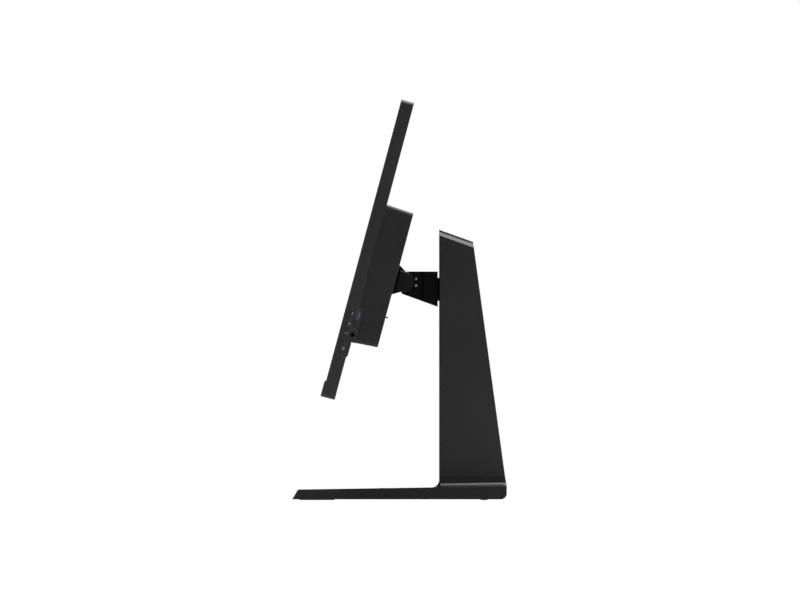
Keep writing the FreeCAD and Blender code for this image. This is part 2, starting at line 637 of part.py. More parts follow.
def make_base():
    body = new_body("Base")
    half = "base_wide / 2"
    top_at = "base_front_top + (%s) * tan(base_slope)"
    outside = [
        ("-base_front", "base_lift"),
        ("base_back", "base_lift"),
        ("base_back", top_at % "base_back + %s" % base_heading),
        ("-%s" % base_heading, "base_front_top"),
    ]
    prism(body, "YZ", outside, ("-" + half, half))
    doc.recompute()
    for side in (1, -1):
        corner = body.newObject("PartDesign::SubtractiveBox", "CornerBevel")
        length = number("base_corner") * 2
        corner.Length, corner.Width, corner.Height = length * 2, length, length
        turn = Rotation(Vector(0, 0, 1), 45 * side) * Rotation(Vector(1, 0, 0), -number("base_draft"))
        start = turn.multVec(Vector(-length, -length, -length / 2))
        corner_x = side * (number(half) - number("base_corner") / 2)
        corner_y = number("base_corner / 2 - base_front")
        corner.Placement = FreeCAD.Placement(Vector(corner_x, corner_y, number("base_lift")) + start, turn)
    rounded(body, "base_heel", corners("y", [number("base_back")], "z", [number("base_lift")]))
    upstand = [
        ("column_front", "base_front_top"),
        ("base_back", "base_front_top"),
        ("base_back", top_at % ("base_back + %s" % base_heading)),
        ("column_foot_back", "column_foot"),
        ("column_front", "column_foot"),
    ]
    prism(body, "YZ", upstand, about("0", "column_wide"))
    front = number("column_front")
    side = number("column_wide / 2")
    rounded(body, "column_edge", lambda edge: runs_along(edge, "z") and on_plane(edge, "y", front))

    def cove_edge(edge):
        box = edge.BoundBox
        low = box.ZMax < number("column_foot") - 5 and box.ZMin > number("base_front_top")
        beside = max(abs(box.XMin), abs(box.XMax)) < side + 0.01 and box.YMin > front - 0.01
        return low and beside and not on_plane(edge, "y", number("base_back"))
    rounded(body, "base_cove", cove_edge)
    weight_x = about("0", "base_wide - 2 * weight_inset")
    weight_front = "front_foot_y + front_foot_long / 2 + weight_inset / 2"
    weight_back = "base_screw_front - 2 * big_head"
    block(body, weight_x, (weight_front, weight_back), ("base_lift", "base_lift + weight_deep"), cut=True)
    weight = new_body("Weight")
    block(weight, about("0", "base_wide - 2 * weight_inset - 2 * weight_gap"),
          (weight_front + " + weight_gap", weight_back + " - weight_gap"),
          ("base_lift + weight_gap", "base_lift + weight_deep"))
    rounded(weight, "weight_inset / 2", lambda edge: runs_along(edge, "z"))
    part_of_stand(weight, "base_weight")
    mat_low = "base_front_top + (mat_front + %s) * tan(base_slope) - mat_sunk" % base_heading
    block(body, about("0", "mat_wide"), ("mat_front", "mat_back"), (mat_low, "column_foot"), cut=True)
    for x, y in screw_spots():
        rod(body, "z", (x, y, "base_lift"), "big_head_tall + 1", "big_head + hole_clear", cut=True)
        rod(body, "z", (x, y, "base_lift"), "column_foot", "big_shank + hole_clear", cut=True)
    for x, y, wide, long in foot_spots():
        block(body, about(x, wide), about(y, long), ("base_lift", "base_lift + foot_sunk"), cut=True)
    part_of_stand(body, "base_casting")

    mat = new_body("Mat")
    block(mat, about("0", "mat_wide - 2 * mat_gap"), ("mat_front + mat_gap", "mat_back - mat_gap"),
          (mat_low, mat_low + " + mat_thick"))
    rounded(mat, "mat_round / 6", lambda edge: runs_along(edge, "z"))
    part_of_stand(mat, "base_mat")


def screw_spots():
    rows_y = ("base_screw_front", "base_screw_back")
    return [(side + "base_screw_x", y) for side in ("-", "") for y in rows_y]


def foot_spots():
    """Centre and size in plan of each rubber foot."""
    front = ("front_foot_y", "front_foot_wide", "front_foot_long")
    rear = ("rear_foot_y", "rear_foot_wide", "rear_foot_long")
    spots = []
    for name, rest in (("front_foot_x", front), ("rear_foot_x", rear)):
        spots += [(side + name, *rest) for side in ("-", "")]
    return spots


def make_feet():
    feet = []
    for x, y, wide, long in foot_spots():
        foot = solid_block(about(x, wide + " - 2 * hole_clear"), about(y, long + " - 2 * hole_clear"),
                           ("0", "base_lift + foot_sunk"))
        feet.append(foot)
    group("front_feet", feet[:2], display=False)
    group("rear_feet", feet[2:], display=False)


def column_line(front_z, back_inset, foot_z):
    """The column's side outline between its front, its sloping top and its leaning back."""
    run = "(column_foot_back - %s)" % column_back_top
    lean = "(%s / (column_top_front - %s - column_foot))" % (run, column_top_fall)
    back_top = "(%s - (%s))" % (column_back_top, back_inset)
    top_back_z = "(%s - (%s - column_front) * tan(column_top_slope))" % (front_z, back_top)
    shift = "(column_top_front - %s - (%s)) * %s" % (column_top_fall, top_back_z, lean)
    back_foot = "column_foot_back - (%s) + (column_foot - %s) * %s" % (back_inset, foot_z, lean)
    return [
        ("column_front", foot_z),
        (back_foot, foot_z),
        ("%s + %s" % (back_top, shift), top_back_z),
        ("column_front", front_z),
    ]


def make_column():
    body = new_body("Column")
    prism(body, "YZ", column_line(shell_top_front, "0", "column_foot"), about("0", "column_wide"))
    inner = column_line("(%s - 2 * column_wall)" % shell_top_front, "-column_wall", "(column_foot - 1)")
    inner[0] = ("column_front + column_wall", inner[0][1])
    inner[3] = ("column_front + column_wall", inner[3][1] + " - column_wall * tan(column_top_slope)")
    prism(body, "YZ", inner, about("0", "column_wide - 2 * column_wall"), cut=True)
    side, front = number("column_wide / 2"), number("column_front")

    def side_top(edge):
        box = edge.BoundBox
        sloped = box.ZLength > 5 and box.YLength > 30
        return sloped and (on_plane(edge, "x", side) or on_plane(edge, "x", -side)) and box.ZMin > 250
    bevelled(body, "column_bevel", side_top)
    rounded(body, "column_edge", lambda edge: runs_along(edge, "z") and on_plane(edge, "y", front)
            and abs(abs(edge.BoundBox.XMin) - side) < 0.01)
    slot_low = "hinge_z - neck_low - lift_down - slot_gap"
    slot_high = "hinge_z + neck_high + lift_up + slot_gap"
    block(body, about("0", "neck_wide + 2 * slot_gap"),
          ("column_front - 1", "column_front + 2 * column_wall"), (slot_low, slot_high), cut=True)
    part_of_stand(body, "column_shell")

    cap = new_body("Cap")
    low = column_line("(%s + 0.01)" % shell_top_front, "seam", "(column_foot)")
    high = column_line("column_top_front", "seam", "(column_foot)")
    prism(cap, "YZ", [low[3], low[2], high[2], high[3]], about("0", "column_wide - 2 * column_bevel - 0.8"))
    top = number("column_top_front")

    def cap_rim(edge):
        box = edge.BoundBox
        fall = top - (box.YMin - front) * math.tan(math.radians(number("column_top_slope")))
        return abs(box.ZMax - fall) < 0.02 and box.YLength > 30
    rounded(cap, "cap_edge", cap_rim)
    part_of_stand(cap, "column_cap")

    back = new_body("ColumnBack")
    top_z = "(%s - 2 * column_wall - seam)" % shell_top_front
    outer = column_line(top_z, "0", "(column_foot + seam)")
    inside = column_line(top_z, "back_thick", "(column_foot + seam)")
    prism(back, "YZ", [inside[1], outer[1], outer[2], inside[2]],
          about("0", "column_wide - 2 * column_wall - 2 * seam"))
    part_of_stand(back, "column_rear_cover")


def make_lift():
    """Rails and gas spring in the column, and the carriage, neck, bushes and rod that travel on them."""
    rail_long = "rail_top - column_foot"
    rails = [solid_rod("z", (side + "rail_x", "rail_y", "column_foot"), rail_long, "rail_radius")
             for side in ("-", "")]
    group("guide_rails", rails, display=False)

    tube = without(
        solid_rod("z", ("0", "spring_y", "column_foot"), "spring_top - column_foot", "spring_radius"),
        solid_rod("z", ("0", "spring_y", "column_foot + spring_wall"),
                  "spring_top - column_foot - spring_wall - spring_gland", "spring_radius - spring_wall"),
        solid_rod("z", ("0", "spring_y", "spring_top - 2 * spring_gland"), "3 * spring_gland",
                  "rod_radius + rod_clear"))
    part_of_stand(tube, "gas_spring_tube")

    body = new_body("Carriage")
    low, high = "hinge_z - carriage_low", "hinge_z + carriage_high"
    block(body, about("0", "carriage_wide"), ("carriage_front", "carriage_front + carriage_deep"),
          (low, high))
    block(body, about("0", "neck_wide"), ("hinge_y + arm_end", "carriage_front + 1"),
          ("hinge_z - neck_low", "hinge_z + neck_high"))
    block(body, about("0", "spring_radius * 2"),
          ("carriage_front", "carriage_front + carriage_deep + ear_deep"), (low, low + " + ear_thick"))
    for side in ("-", ""):
        rod(body, "z", (side + "rail_x", "rail_y", low + " - 1"), "carriage_low + carriage_high + 2",
            "bush_radius", cut=True)
        start = "-neck_wide / 2 + relief_inset" if side else "neck_wide / 2 - relief_inset - relief_long"
        rod(body, "x", (start, "carriage_front", low), "relief_long", "relief_radius", cut=True)
    part_of_stand(body, "lift_carriage")

    bushes = []
    for side in ("-", ""):
        for end in (low, high + " - bush_long"):
            ring = solid_rod("z", (side + "rail_x", "rail_y", end), "bush_long", "bush_radius")
            bore = solid_rod("z", (side + "rail_x", "rail_y", end + " - 1"), "bush_long + 2",
                             "rail_radius + bush_clear")
            bushes.append(without(ring, bore))
    group("glide_bushes", bushes, display=False)

    rod_piece = solid_rod("z", ("0", "spring_y", "rod_bottom"), "%s - rod_bottom" % low, "rod_radius")
    part_of_stand(rod_piece, "gas_spring_rod")


def arm_point(y, z):
    return "hinge_y + (%s)" % y, "hinge_z + (%s)" % z


def make_arm():
    under = "(-arm_heel_z - ((%s) + arm_heel_y) * tan(arm_slope))"
    body = new_body("Nose")
    rod(body, "x", ("-nose_wide / 2", "hinge_y", "hinge_z"), "nose_wide", "nose_radius")
    shape = [
        arm_point("0", "nose_radius"),
        arm_point("arm_start", "arm_rise"),
        arm_point("arm_end", "arm_rise"),
        arm_point("arm_end", under % "arm_end"),
        arm_point("-arm_heel_y", "-arm_heel_z"),
        arm_point("-nose_radius * 0.7", "-nose_radius * 0.71"),
        arm_point("0", "0"),
    ]
    prism(body, "YZ", shape, about("0", "nose_wide"))
    rod(body, "x", ("-nose_wide", "hinge_y", "hinge_z"), "2 * nose_wide", "pin_radius + pin_clear", cut=True)
    part_of_stand(body, "arm_nose")

    covers = []
    for side in (1, -1):
        cover = new_body("ArmCover")
        inner, outer = "nose_wide / 2 + cover_gap", "cover_wide / 2"
        ends = (inner, outer) if side == 1 else ("-(%s)" % outer, "-(%s)" % inner)
        prism(cover, "YZ", [
            arm_point("cover_start", "arm_rise"),
            arm_point("arm_end", "arm_rise"),
            arm_point("arm_end", under % "arm_end"),
            arm_point("cover_start", under % "cover_start"),
        ], ends)
        face = side * number(outer)
        rounded(cover, "cap_round", lambda edge: on_plane(edge, "x", face) and edge.BoundBox.YMin
                < number("hinge_y + arm_end") - 1)
        covers.append(cover)
    group("arm_side_covers", covers, display=False)

    screws = []
    for side in (1, -1):
        for z in ("arm_screw_high", "-arm_screw_low"):
            start = "nose_wide / 2" if side == 1 else "-nose_wide / 2 - arm_screw_tall"
            spot = (start, "hinge_y + arm_screw_y", "hinge_z + (%s)" % z)
            head = solid_rod("x", spot, "arm_screw_tall", "arm_screw_radius")
            socket_x = start + (" + arm_screw_tall / 2" if side == 1 else " - 1")
            socket_spot = (socket_x, spot[1], spot[2])
            socket = solid_rod("x", socket_spot, "arm_screw_tall / 2 + 1", "arm_screw_radius / 2")
            screws.append(without(head, socket))
    group("arm_screws", screws, display=False)


def screw(spot, along, deep_first, sizes):
    """One screw: a head with a socket and a shank, drawn along an axis, its head at the named end."""
    head_radius, head_tall, shank_radius, shank_long, socket_radius = sizes
    axis = "xyz".index(along)

    def moved(text):
        shifted = list(spot)
        shifted[axis] = "%s + (%s)" % (spot[axis], text)
        return shifted
    if deep_first:
        head = solid_rod(along, moved("-(%s)" % head_tall), head_tall, head_radius)
        shank = solid_rod(along, moved("-(%s) - (%s)" % (head_tall, shank_long)), shank_long, shank_radius)
        socket = solid_rod(along, moved("-screw_socket_deep"), "screw_socket_deep + 1", socket_radius)
    else:
        head = solid_rod(along, moved("0"), head_tall, head_radius)
        shank = solid_rod(along, moved(head_tall), shank_long, shank_radius)
        socket = solid_rod(along, moved("-1"), "screw_socket_deep + 1", socket_radius)
    return without(together(head, shank), socket)


small_screw = ("screw_head", "screw_head_tall", "screw_shank", "screw_long", "screw_socket")
big_screw = ("big_head", "big_head_tall", "big_shank", "big_long", "big_socket")


def make_base_screws():
    screws = [screw((x, y, "base_lift + base_screw_sunk"), "z", False, big_screw) for x, y in screw_spots()]
    group("base_screws", screws, display=False)


# ---- the display's front ----

def make_front():
    body = new_body("Frame")
    low, high = "%s + seam" % chin_top_z, "head_rise"
    block(body, about("0", "head_wide"), (front_y, frame_back_y), (low, high))
    rounded(body, "corner_round", corners("x", [number(side_x), -number(side_x)], "z", [number(high)]))
    inner = about("0", "head_wide - 2 * frame_lip")
    inner_z = (low + " + frame_lip", high + " - frame_lip")
    block(body, inner, (front_y + " - 1", glass_back_y), inner_z, cut=True)
    block(body, inner, (glass_back_y + " + ledge_thick", frame_back_y + " + 1"), inner_z, cut=True)
    block(body, about("0", "head_wide - 2 * frame_lip - 2 * ledge_wide"), (front_y, frame_back_y),
          (low + " + frame_lip + ledge_wide", high + " - frame_lip - ledge_wide"), cut=True)
    block(body, about("0", "camera_wide + 2 * camera_space"), (glass_back_y, frame_back_y + " + 1"),
          ("head_rise / 2", high + " - frame_lip"), cut=True)
    stem_low = "shutter_rest - shutter_stem / 2 - shutter_gap"
    stem_high = "shutter_rest + shutter_travel + shutter_stem / 2 + shutter_gap"
    block(body, (stem_low, stem_high), (glass_back_y, glass_back_y + " + stem_slot_deep"),
          (high + " - stem_slot_tall", high + " + 1"), cut=True)
    knob_low = "shutter_rest - shutter_knob / 2 - shutter_gap"
    knob_high = "shutter_rest + shutter_travel + shutter_knob / 2 + shutter_gap"
    knob_slot = ("%s - shutter_knob_deep" % glass_back_y,
                 "%s + shutter_thick + 2 * shutter_gap + 2 * shutter_knob_deep" % glass_back_y)
    block(body, (knob_low, knob_high), knob_slot,
          (high + " - shutter_knob_tall - shutter_gap", high + " + 1"), cut=True)
    part_of_display(body, "front_frame")

    glass = new_body("Glass")
    block(glass, about("0", "head_wide - 2 * frame_lip - 2 * glass_gap"), (glass_front_y, glass_back_y),
          (low + " + frame_lip + glass_gap", high + " - frame_lip - glass_gap"))
    part_of_display(glass, "front_glass")

    panel = about("0", "panel_wide")
    panel_z = ("-panel_low", "panel_top")
    layers = [
        ("lcd_cell", "%s + stack_gap" % glass_back_y, cell_back_y),
        ("light_guide", "%s + stack_gap" % cell_back_y, guide_back_y),
        ("backlight_tray", "%s + stack_gap" % guide_back_y, tray_back_y),
    ]
    for label, start, end in layers:
        layer = new_body("Layer")
        block(layer, panel, (start, end), panel_z)
        part_of_display(layer, label)


def make_chin():
    body = new_body("Chin")
    profile = [
        ("%s - chin_proud" % front_y, "-head_drop"),
        (frame_back_y, "-head_drop"),
        (frame_back_y, chin_top_z),
        (front_y, chin_top_z),
        ("%s - chin_proud" % front_y, "%s - chin_proud" % chin_top_z),
    ]
    prism(body, "YZ", profile, about("0", "head_wide"))
    block(body, about("0", "head_wide - 2 * shell_wall"), (front_y, frame_back_y + " + 1"),
          ("-head_drop + shell_wall", "%s - chin_proud - shell_wall / 4" % chin_top_z), cut=True)
    low, side = -number("head_drop"), number(side_x)
    rounded(body, "corner_round", lambda edge: runs_along(edge, "y") and on_plane(edge, "z", low)
            and abs(abs(edge.BoundBox.XMin) - side) < 0.01)
    for middle in ("speaker_x", "-speaker_x"):
        start = middle + " - (chin_slot_count - 1) * chin_slot_pitch / 2 - chin_slot_wide / 2"
        slot_y = (front_y + " - 2 * seam", frame_back_y + " - 4 * seam")
        slot = block(body, (start, start + " + chin_slot_wide"), slot_y,
                     ("-head_drop - 1", "-head_drop + shell_wall + 1"), cut=True)
        row_of(body, slot, "X", "chin_slot_count", "chin_slot_pitch")
    part_of_display(body, "chin_cover")

    speakers = []
    for middle in ("-speaker_x", "speaker_x"):
        box = new_body("Speaker")
        z = ("-head_drop + shell_wall + seam", "-head_drop + shell_wall + seam + speaker_tall")
        y = (front_y + " + seam", front_y + " + seam + speaker_deep")
        block(box, about(middle, "speaker_long"), y, z)
        for offset in ("-speaker_long / 4", "speaker_long / 4"):
            rod(box, "z", ("%s + %s" % (middle, offset), "(%s + %s) / 2" % y, z[0] + " - 1"), "3",
                "speaker_cone", cut=True)
        speakers.append(box)
    group("speakers", speakers)


def make_camera():
    module = new_body("Camera")
    z = ("panel_top + camera_lift", "panel_top + camera_lift + camera_tall")
    y = ("%s + shutter_thick + 3 * shutter_gap" % glass_back_y,
         "%s + shutter_thick + 3 * shutter_gap + camera_deep" % glass_back_y)
    block(module, about("0", "camera_wide"), y, z)
    rod(module, "y", ("0", y[0] + " - 1", "(%s + %s) / 2" % z), "lens_sunk + 1", "lens_radius", cut=True)
    part_of_display(module, "webcam_module")

    shutter = new_body("Shutter")
    blade = ("%s + shutter_gap" % glass_back_y, "%s + shutter_gap + shutter_thick" % glass_back_y)
    block(shutter, about("shutter_rest", "shutter_wide"), blade,
          (z[0], "head_rise - frame_lip - shutter_gap"))
    block(shutter, about("shutter_rest", "shutter_stem"), blade, (z[1], "head_rise - shutter_knob_tall / 2"))
    knob = (blade[0] + " - shutter_knob_deep", blade[1] + " + shutter_knob_deep")
    block(shutter, about("shutter_rest", "shutter_knob"), knob,
          ("head_rise - shutter_knob_tall", "head_rise"))
    part_of_display(shutter, "camera_shutter")


# ---- the display's back ----

def side_plate_box(grow):
    """Where the port plate lies, with a gap round it."""
    y = ("-plate_front - %s" % grow, "-plate_rear + %s" % grow)
    return y, ("-plate_low - %s" % grow, "-plate_top + %s" % grow)


def make_rear_cover():
    body = new_body("RearCover")
    front = "%s + seam" % frame_back_y
    block(body, about("0", "head_wide"), (front, slab_back_y), ("-head_drop", "head_rise"))
    side = number(side_x)
    high, low = number("head_rise"), -number("head_drop")
    rounded(body, "corner_round", corners("x", [side, -side], "z", [high, low]))
    back = number(slab_back_y)
    rounded(body, "edge_round", lambda edge: on_plane(edge, "y", back))
    block(body, about("0", "head_wide - 2 * shell_wall"), (front + " - 1", slab_back_y + " - shell_wall"),
          ("-head_drop + shell_wall", "head_rise - shell_wall"), cut=True)
    ridge = [
        ("%s - 0.5" % slab_back_y, "-box_drop - stack_gap"),
        ("%s + ridge_proud" % slab_back_y, "-box_drop - stack_gap"),
        ("%s + ridge_proud" % slab_back_y, "-box_drop - ridge_tall * 0.83"),
        ("%s - 0.5" % slab_back_y, "-box_drop - ridge_tall"),
    ]
    prism(body, "YZ", ridge, about("0", "head_wide - 2 * box_inset - 14"))
    block(body, about("0", "2 * (%s - box_rim)" % box_half), (front, slab_back_y + " + ridge_proud + 1"),
          ("-box_drop + box_rim", "box_rise - box_rim"), cut=True)
    plate_y, plate_z = side_plate_box("seam")
    recess_x = (side_x + " - plate_thick - seam", side_x + " + 1")
    behind_y = ("-plate_front + plate_ledge", slab_back_y + " + 1")
    block(body, recess_x, (plate_y[0], slab_back_y + " + 1"), plate_z, cut=True)
    block(body, (side_x + " - shell_wall - 1", side_x + " + 1"), behind_y,
          ("-plate_low + plate_ledge", "-plate_top - plate_ledge"), cut=True)
    block(body, (side_x + " - 2 * box_rim", side_x + " + 1"), behind_y,
          ("audio_z - 2 * jack_ring + 1", "-plate_top - plate_ledge"), cut=True)
    part_of_display(body, "rear_cover")


def wedge(body, grow, y, cut=False):
    """The tapering box on the slab's back, drawn in by a wall."""
    feature = body.newObject("PartDesign::SubtractiveWedge" if cut else "PartDesign::AdditiveWedge", "Wedge")
    half = "(%s - %s)" % (box_half, grow)
    low, high = "-box_drop + %s" % grow, "box_rise - %s" % grow
    bind(feature, Xmin="-" + half, Xmax=half)
    bind(feature, X2min="-(%s - %s)" % (half, box_taper), X2max="%s - %s" % (half, box_taper))
    bind(feature, Ymin=y[0], Ymax=y[1], Zmin=low, Zmax=high)
    bind(feature, Z2min="%s + %s" % (low, box_taper), Z2max="%s - %s" % (high, box_taper))
    return feature


def make_housing():
    body = new_body("Housing")
    wedge(body, "0", (slab_back_y, box_back_y))
    back = number(box_back_y)
    rounded(body, "corner_round", lambda edge: edge.BoundBox.YLength > number("box_deep") - 1)
    rounded(body, "box_round", lambda edge: on_plane(edge, "y", back))
    wedge(body, "box_wall", (slab_back_y + " - 1", box_back_y + " - box_wall"), cut=True)
    through_back = (box_back_y + " - 2 * box_wall", box_back_y + " + 1")
    opening = about("0", "mount_wide + 2 * mount_gap")
    block(body, opening, through_back, opening, cut=True)
    door_x = about("door_x", "door_wide + 2 * mount_gap")
    door_z = about("door_z", "door_tall + 2 * mount_gap")
    block(body, door_x, (box_back_y + " - door_thick", box_back_y + " + 1"), door_z, cut=True)
    block(body, about("door_x", "door_wide - 2 * door_lip"), through_back,
          about("door_z", "door_tall - 2 * door_lip"), cut=True)
    vent_y = about("(%s + %s) / 2" % (slab_back_y, box_back_y), "vent_long")
    grille_z = ("grille_top - grille_tall", "grille_top")
    for side in (1, -1):
        start = "vent_start" if side == 1 else "-vent_start - (vent_count - 1) * vent_pitch - vent_wide"
        for z in (("box_rise - 4 * box_wall", "box_rise + 1"), ("-box_drop - 1", "-box_drop + 3 * box_wall")):
            if side == -1 and z[0].startswith("-"):
                continue
            slot = block(body, (start, start + " + vent_wide"), vent_y, z, cut=True)
            row_of(body, slot, "X", "vent_count", "vent_pitch")
        start = "vent_start" if side == 1 else "-vent_start - (grille_count - 1) * grille_pitch - vent_wide"
        slot = block(body, (start, start + " + vent_wide"), through_back, grille_z, cut=True)
        row_of(body, slot, "X", "grille_count", "grille_pitch")
    plate_y, plate_z = side_plate_box("seam")
    recess_x = (side_x + " - plate_thick - seam", side_x + " + 1")
    block(body, recess_x, (slab_back_y + " - 1", plate_y[1]), plate_z, cut=True)
    behind_y = (slab_back_y + " - 1", "-plate_rear - plate_ledge")
    block(body, (side_x + " - 4 * box_wall", side_x + " + 1"), behind_y,
          ("audio_z - 2 * jack_ring", "-plate_top - plate_ledge"), cut=True)
    block(body, about("bay_x", "bay_wide"), ("-bay_front", "-bay_rear"),
          ("-box_drop - 1", "-box_drop + 3 * box_wall"), cut=True)
    for x, z in housing_screw_spots():
        rod(body, "y", (x, box_back_y + " - 2 * box_wall", z), "3 * box_wall",
            "screw_shank + hole_clear", cut=True)
        rod(body, "y", (x, box_back_y + " - screw_head_tall - screw_sunk", z), "box_wall * 2",
            "screw_head + hole_clear", cut=True)
    part_of_display(body, "rear_housing")


def housing_screw_spots():
    spots = [
        ("case_screw_out", "-case_screw_low"),
        ("case_screw_out", "case_screw_high"),
        ("case_screw_in", "-case_screw_low"),
    ]
    return [(side + x, z) for side in ("-", "") for x, z in spots]


def make_display_screws():
    """The same screw holds the box to the chassis and the mount plate to its standoffs."""
    screws = []
    for x, z in housing_screw_spots() + mount_spots():
        screws.append(screw((x, box_back_y + " - screw_sunk", z), "y", True, small_screw))
    group("display_screws", screws)


def make_door():
    door = new_body("Door")
    block(door, about("door_x", "door_wide"), (box_back_y + " - door_thick", box_back_y),
          about("door_z", "door_tall"))
    rounded(door, "seam", lambda edge: on_plane(edge, "y", number(box_back_y)))
    part_of_display(door, "service_door")


def mount_spots():
    half = "mount_grid / 2"
    return [(x + half, z + half) for x in ("-", "") for z in ("-", "")]


def make_mount():
    plate_y = (box_back_y + " - mount_thick", box_back_y)
    body = new_body("MountPlate")
    block(body, about("0", "mount_wide"), plate_y, about("0", "mount_wide"))
    rounded(body, "mount_round", lambda edge: runs_along(edge, "y"))
    slot_z = ("-latch_z - latch_thick / 2 - latch_gap",
              "-latch_z + latch_thick / 2 + latch_travel + latch_gap")
    block(body, about("0", "latch_wide + 2 * latch_gap"), (plate_y[0] + " - 1", plate_y[1] + " + 1"), slot_z,
          cut=True)
    for x, z in mount_spots():
        rod(body, "y", (x, plate_y[0] + " - 1", z), "mount_thick + 2", "screw_shank + hole_clear", cut=True)
        rod(body, "y", (x, plate_y[1] + " - screw_head_tall - screw_sunk", z), "mount_thick",
            "screw_head + hole_clear", cut=True)
    part_of_display(body, "mount_plate")

    posts = []
    for x, z in mount_spots():
        post = solid_rod("y", (x, "-chassis_back", z), "chassis_back + (%s)" % plate_y[0], "standoff_radius")
        bore = solid_rod("y", (x, "%s - standoff_thread" % plate_y[0], z), "standoff_thread + 1",
                         "standoff_bore")
        posts.append(without(post, bore))
    group("mount_standoffs", posts)

    latch = new_body("Latch")
    inner_y = (plate_y[0] + " - 2 * latch_gap - latch_thick", plate_y[0] + " - 2 * latch_gap")
    block(latch, about("0", "latch_plate_wide"), inner_y, about("-latch_z", "latch_plate_tall"))
    tip_y = box_back_y + " + latch_proud"
    block(latch, about("0", "latch_wide"), (inner_y[0], tip_y), about("-latch_z", "latch_thick"))
    rounded(latch, "latch_thick / 4", lambda edge: on_plane(edge, "y", number(tip_y))
            and edge.BoundBox.XLength > 5)
    part_of_display(latch, "release_latch")


def cheek_line(radius, foot, start):
    """A foot, and the sides that run from it to a round end about the hinge."""
    return [(start, "-(%s)" % foot), (start, foot), ("0", radius), ("0", "-(%s)" % radius)]


def make_hinge():
    cheeks, caps, washers = [], [], []
    for side in (1, -1):
        inner, outer = cheek_in_x, cheek_out_x
        ends = (inner, outer) if side == 1 else ("-(%s)" % outer, "-(%s)" % inner)
        cheek = new_body("Cheek")
        prism(cheek, "YZ", cheek_line("cheek_radius", "cheek_foot", box_back_y), ends)
        rod(cheek, "x", (ends[0], "0", "0"), "cheek_thick", "cheek_radius")
        rod(cheek, "x", (ends[0] + " - 1", "0", "0"), "cheek_thick + 2", "pin_radius", cut=True)
        block(cheek, ends, (box_back_y + " - cheek_radius", box_back_y), about("0", "4 * cheek_radius"),
              cut=True)
        cheeks.append(cheek)

        cap_ends = (outer, outer + " + cap_thick")
        if side == -1:
            cap_ends = ("-(%s + cap_thick)" % outer, "-(%s)" % outer)
        foot_y = box_back_y + " + cap_clear"
        cap = new_body("HingeCap")
        prism(cap, "YZ", cheek_line("cap_radius", "cap_radius", foot_y), cap_ends)
        rod(cap, "x", (cap_ends[0], "0", "0"), "cap_thick", "cap_radius")
        block(cap, cap_ends, (foot_y + " - cap_radius", foot_y), about("0", "4 * cap_radius"), cut=True)
        face = side * number(outer + " + cap_thick")
        rounded(cap, "cap_round", lambda edge: on_plane(edge, "x", face))
        caps.append(cap)

        start = "nose_wide / 2 + washer_gap" if side == 1 else "-(%s)" % cheek_in_x
        ring = solid_rod("x", (start, "0", "0"), "washer_thick", "washer_radius")
        bore = solid_rod("x", (start + " - 1", "0", "0"), "washer_thick + 2", "pin_radius")
        washers.append(without(ring, bore))
    group("hinge_cheeks", cheeks)
    group("hinge_caps", caps)
    group("friction_washers", washers)
    pin = new_body("HingePin")
    rod(pin, "x", ("-(%s)" % cheek_out_x, "0", "0"), "2 * %s" % cheek_out_x, "pin_radius")
    part_of_display(pin, "hinge_pin")


# ---- the ports and the power button on the side ----

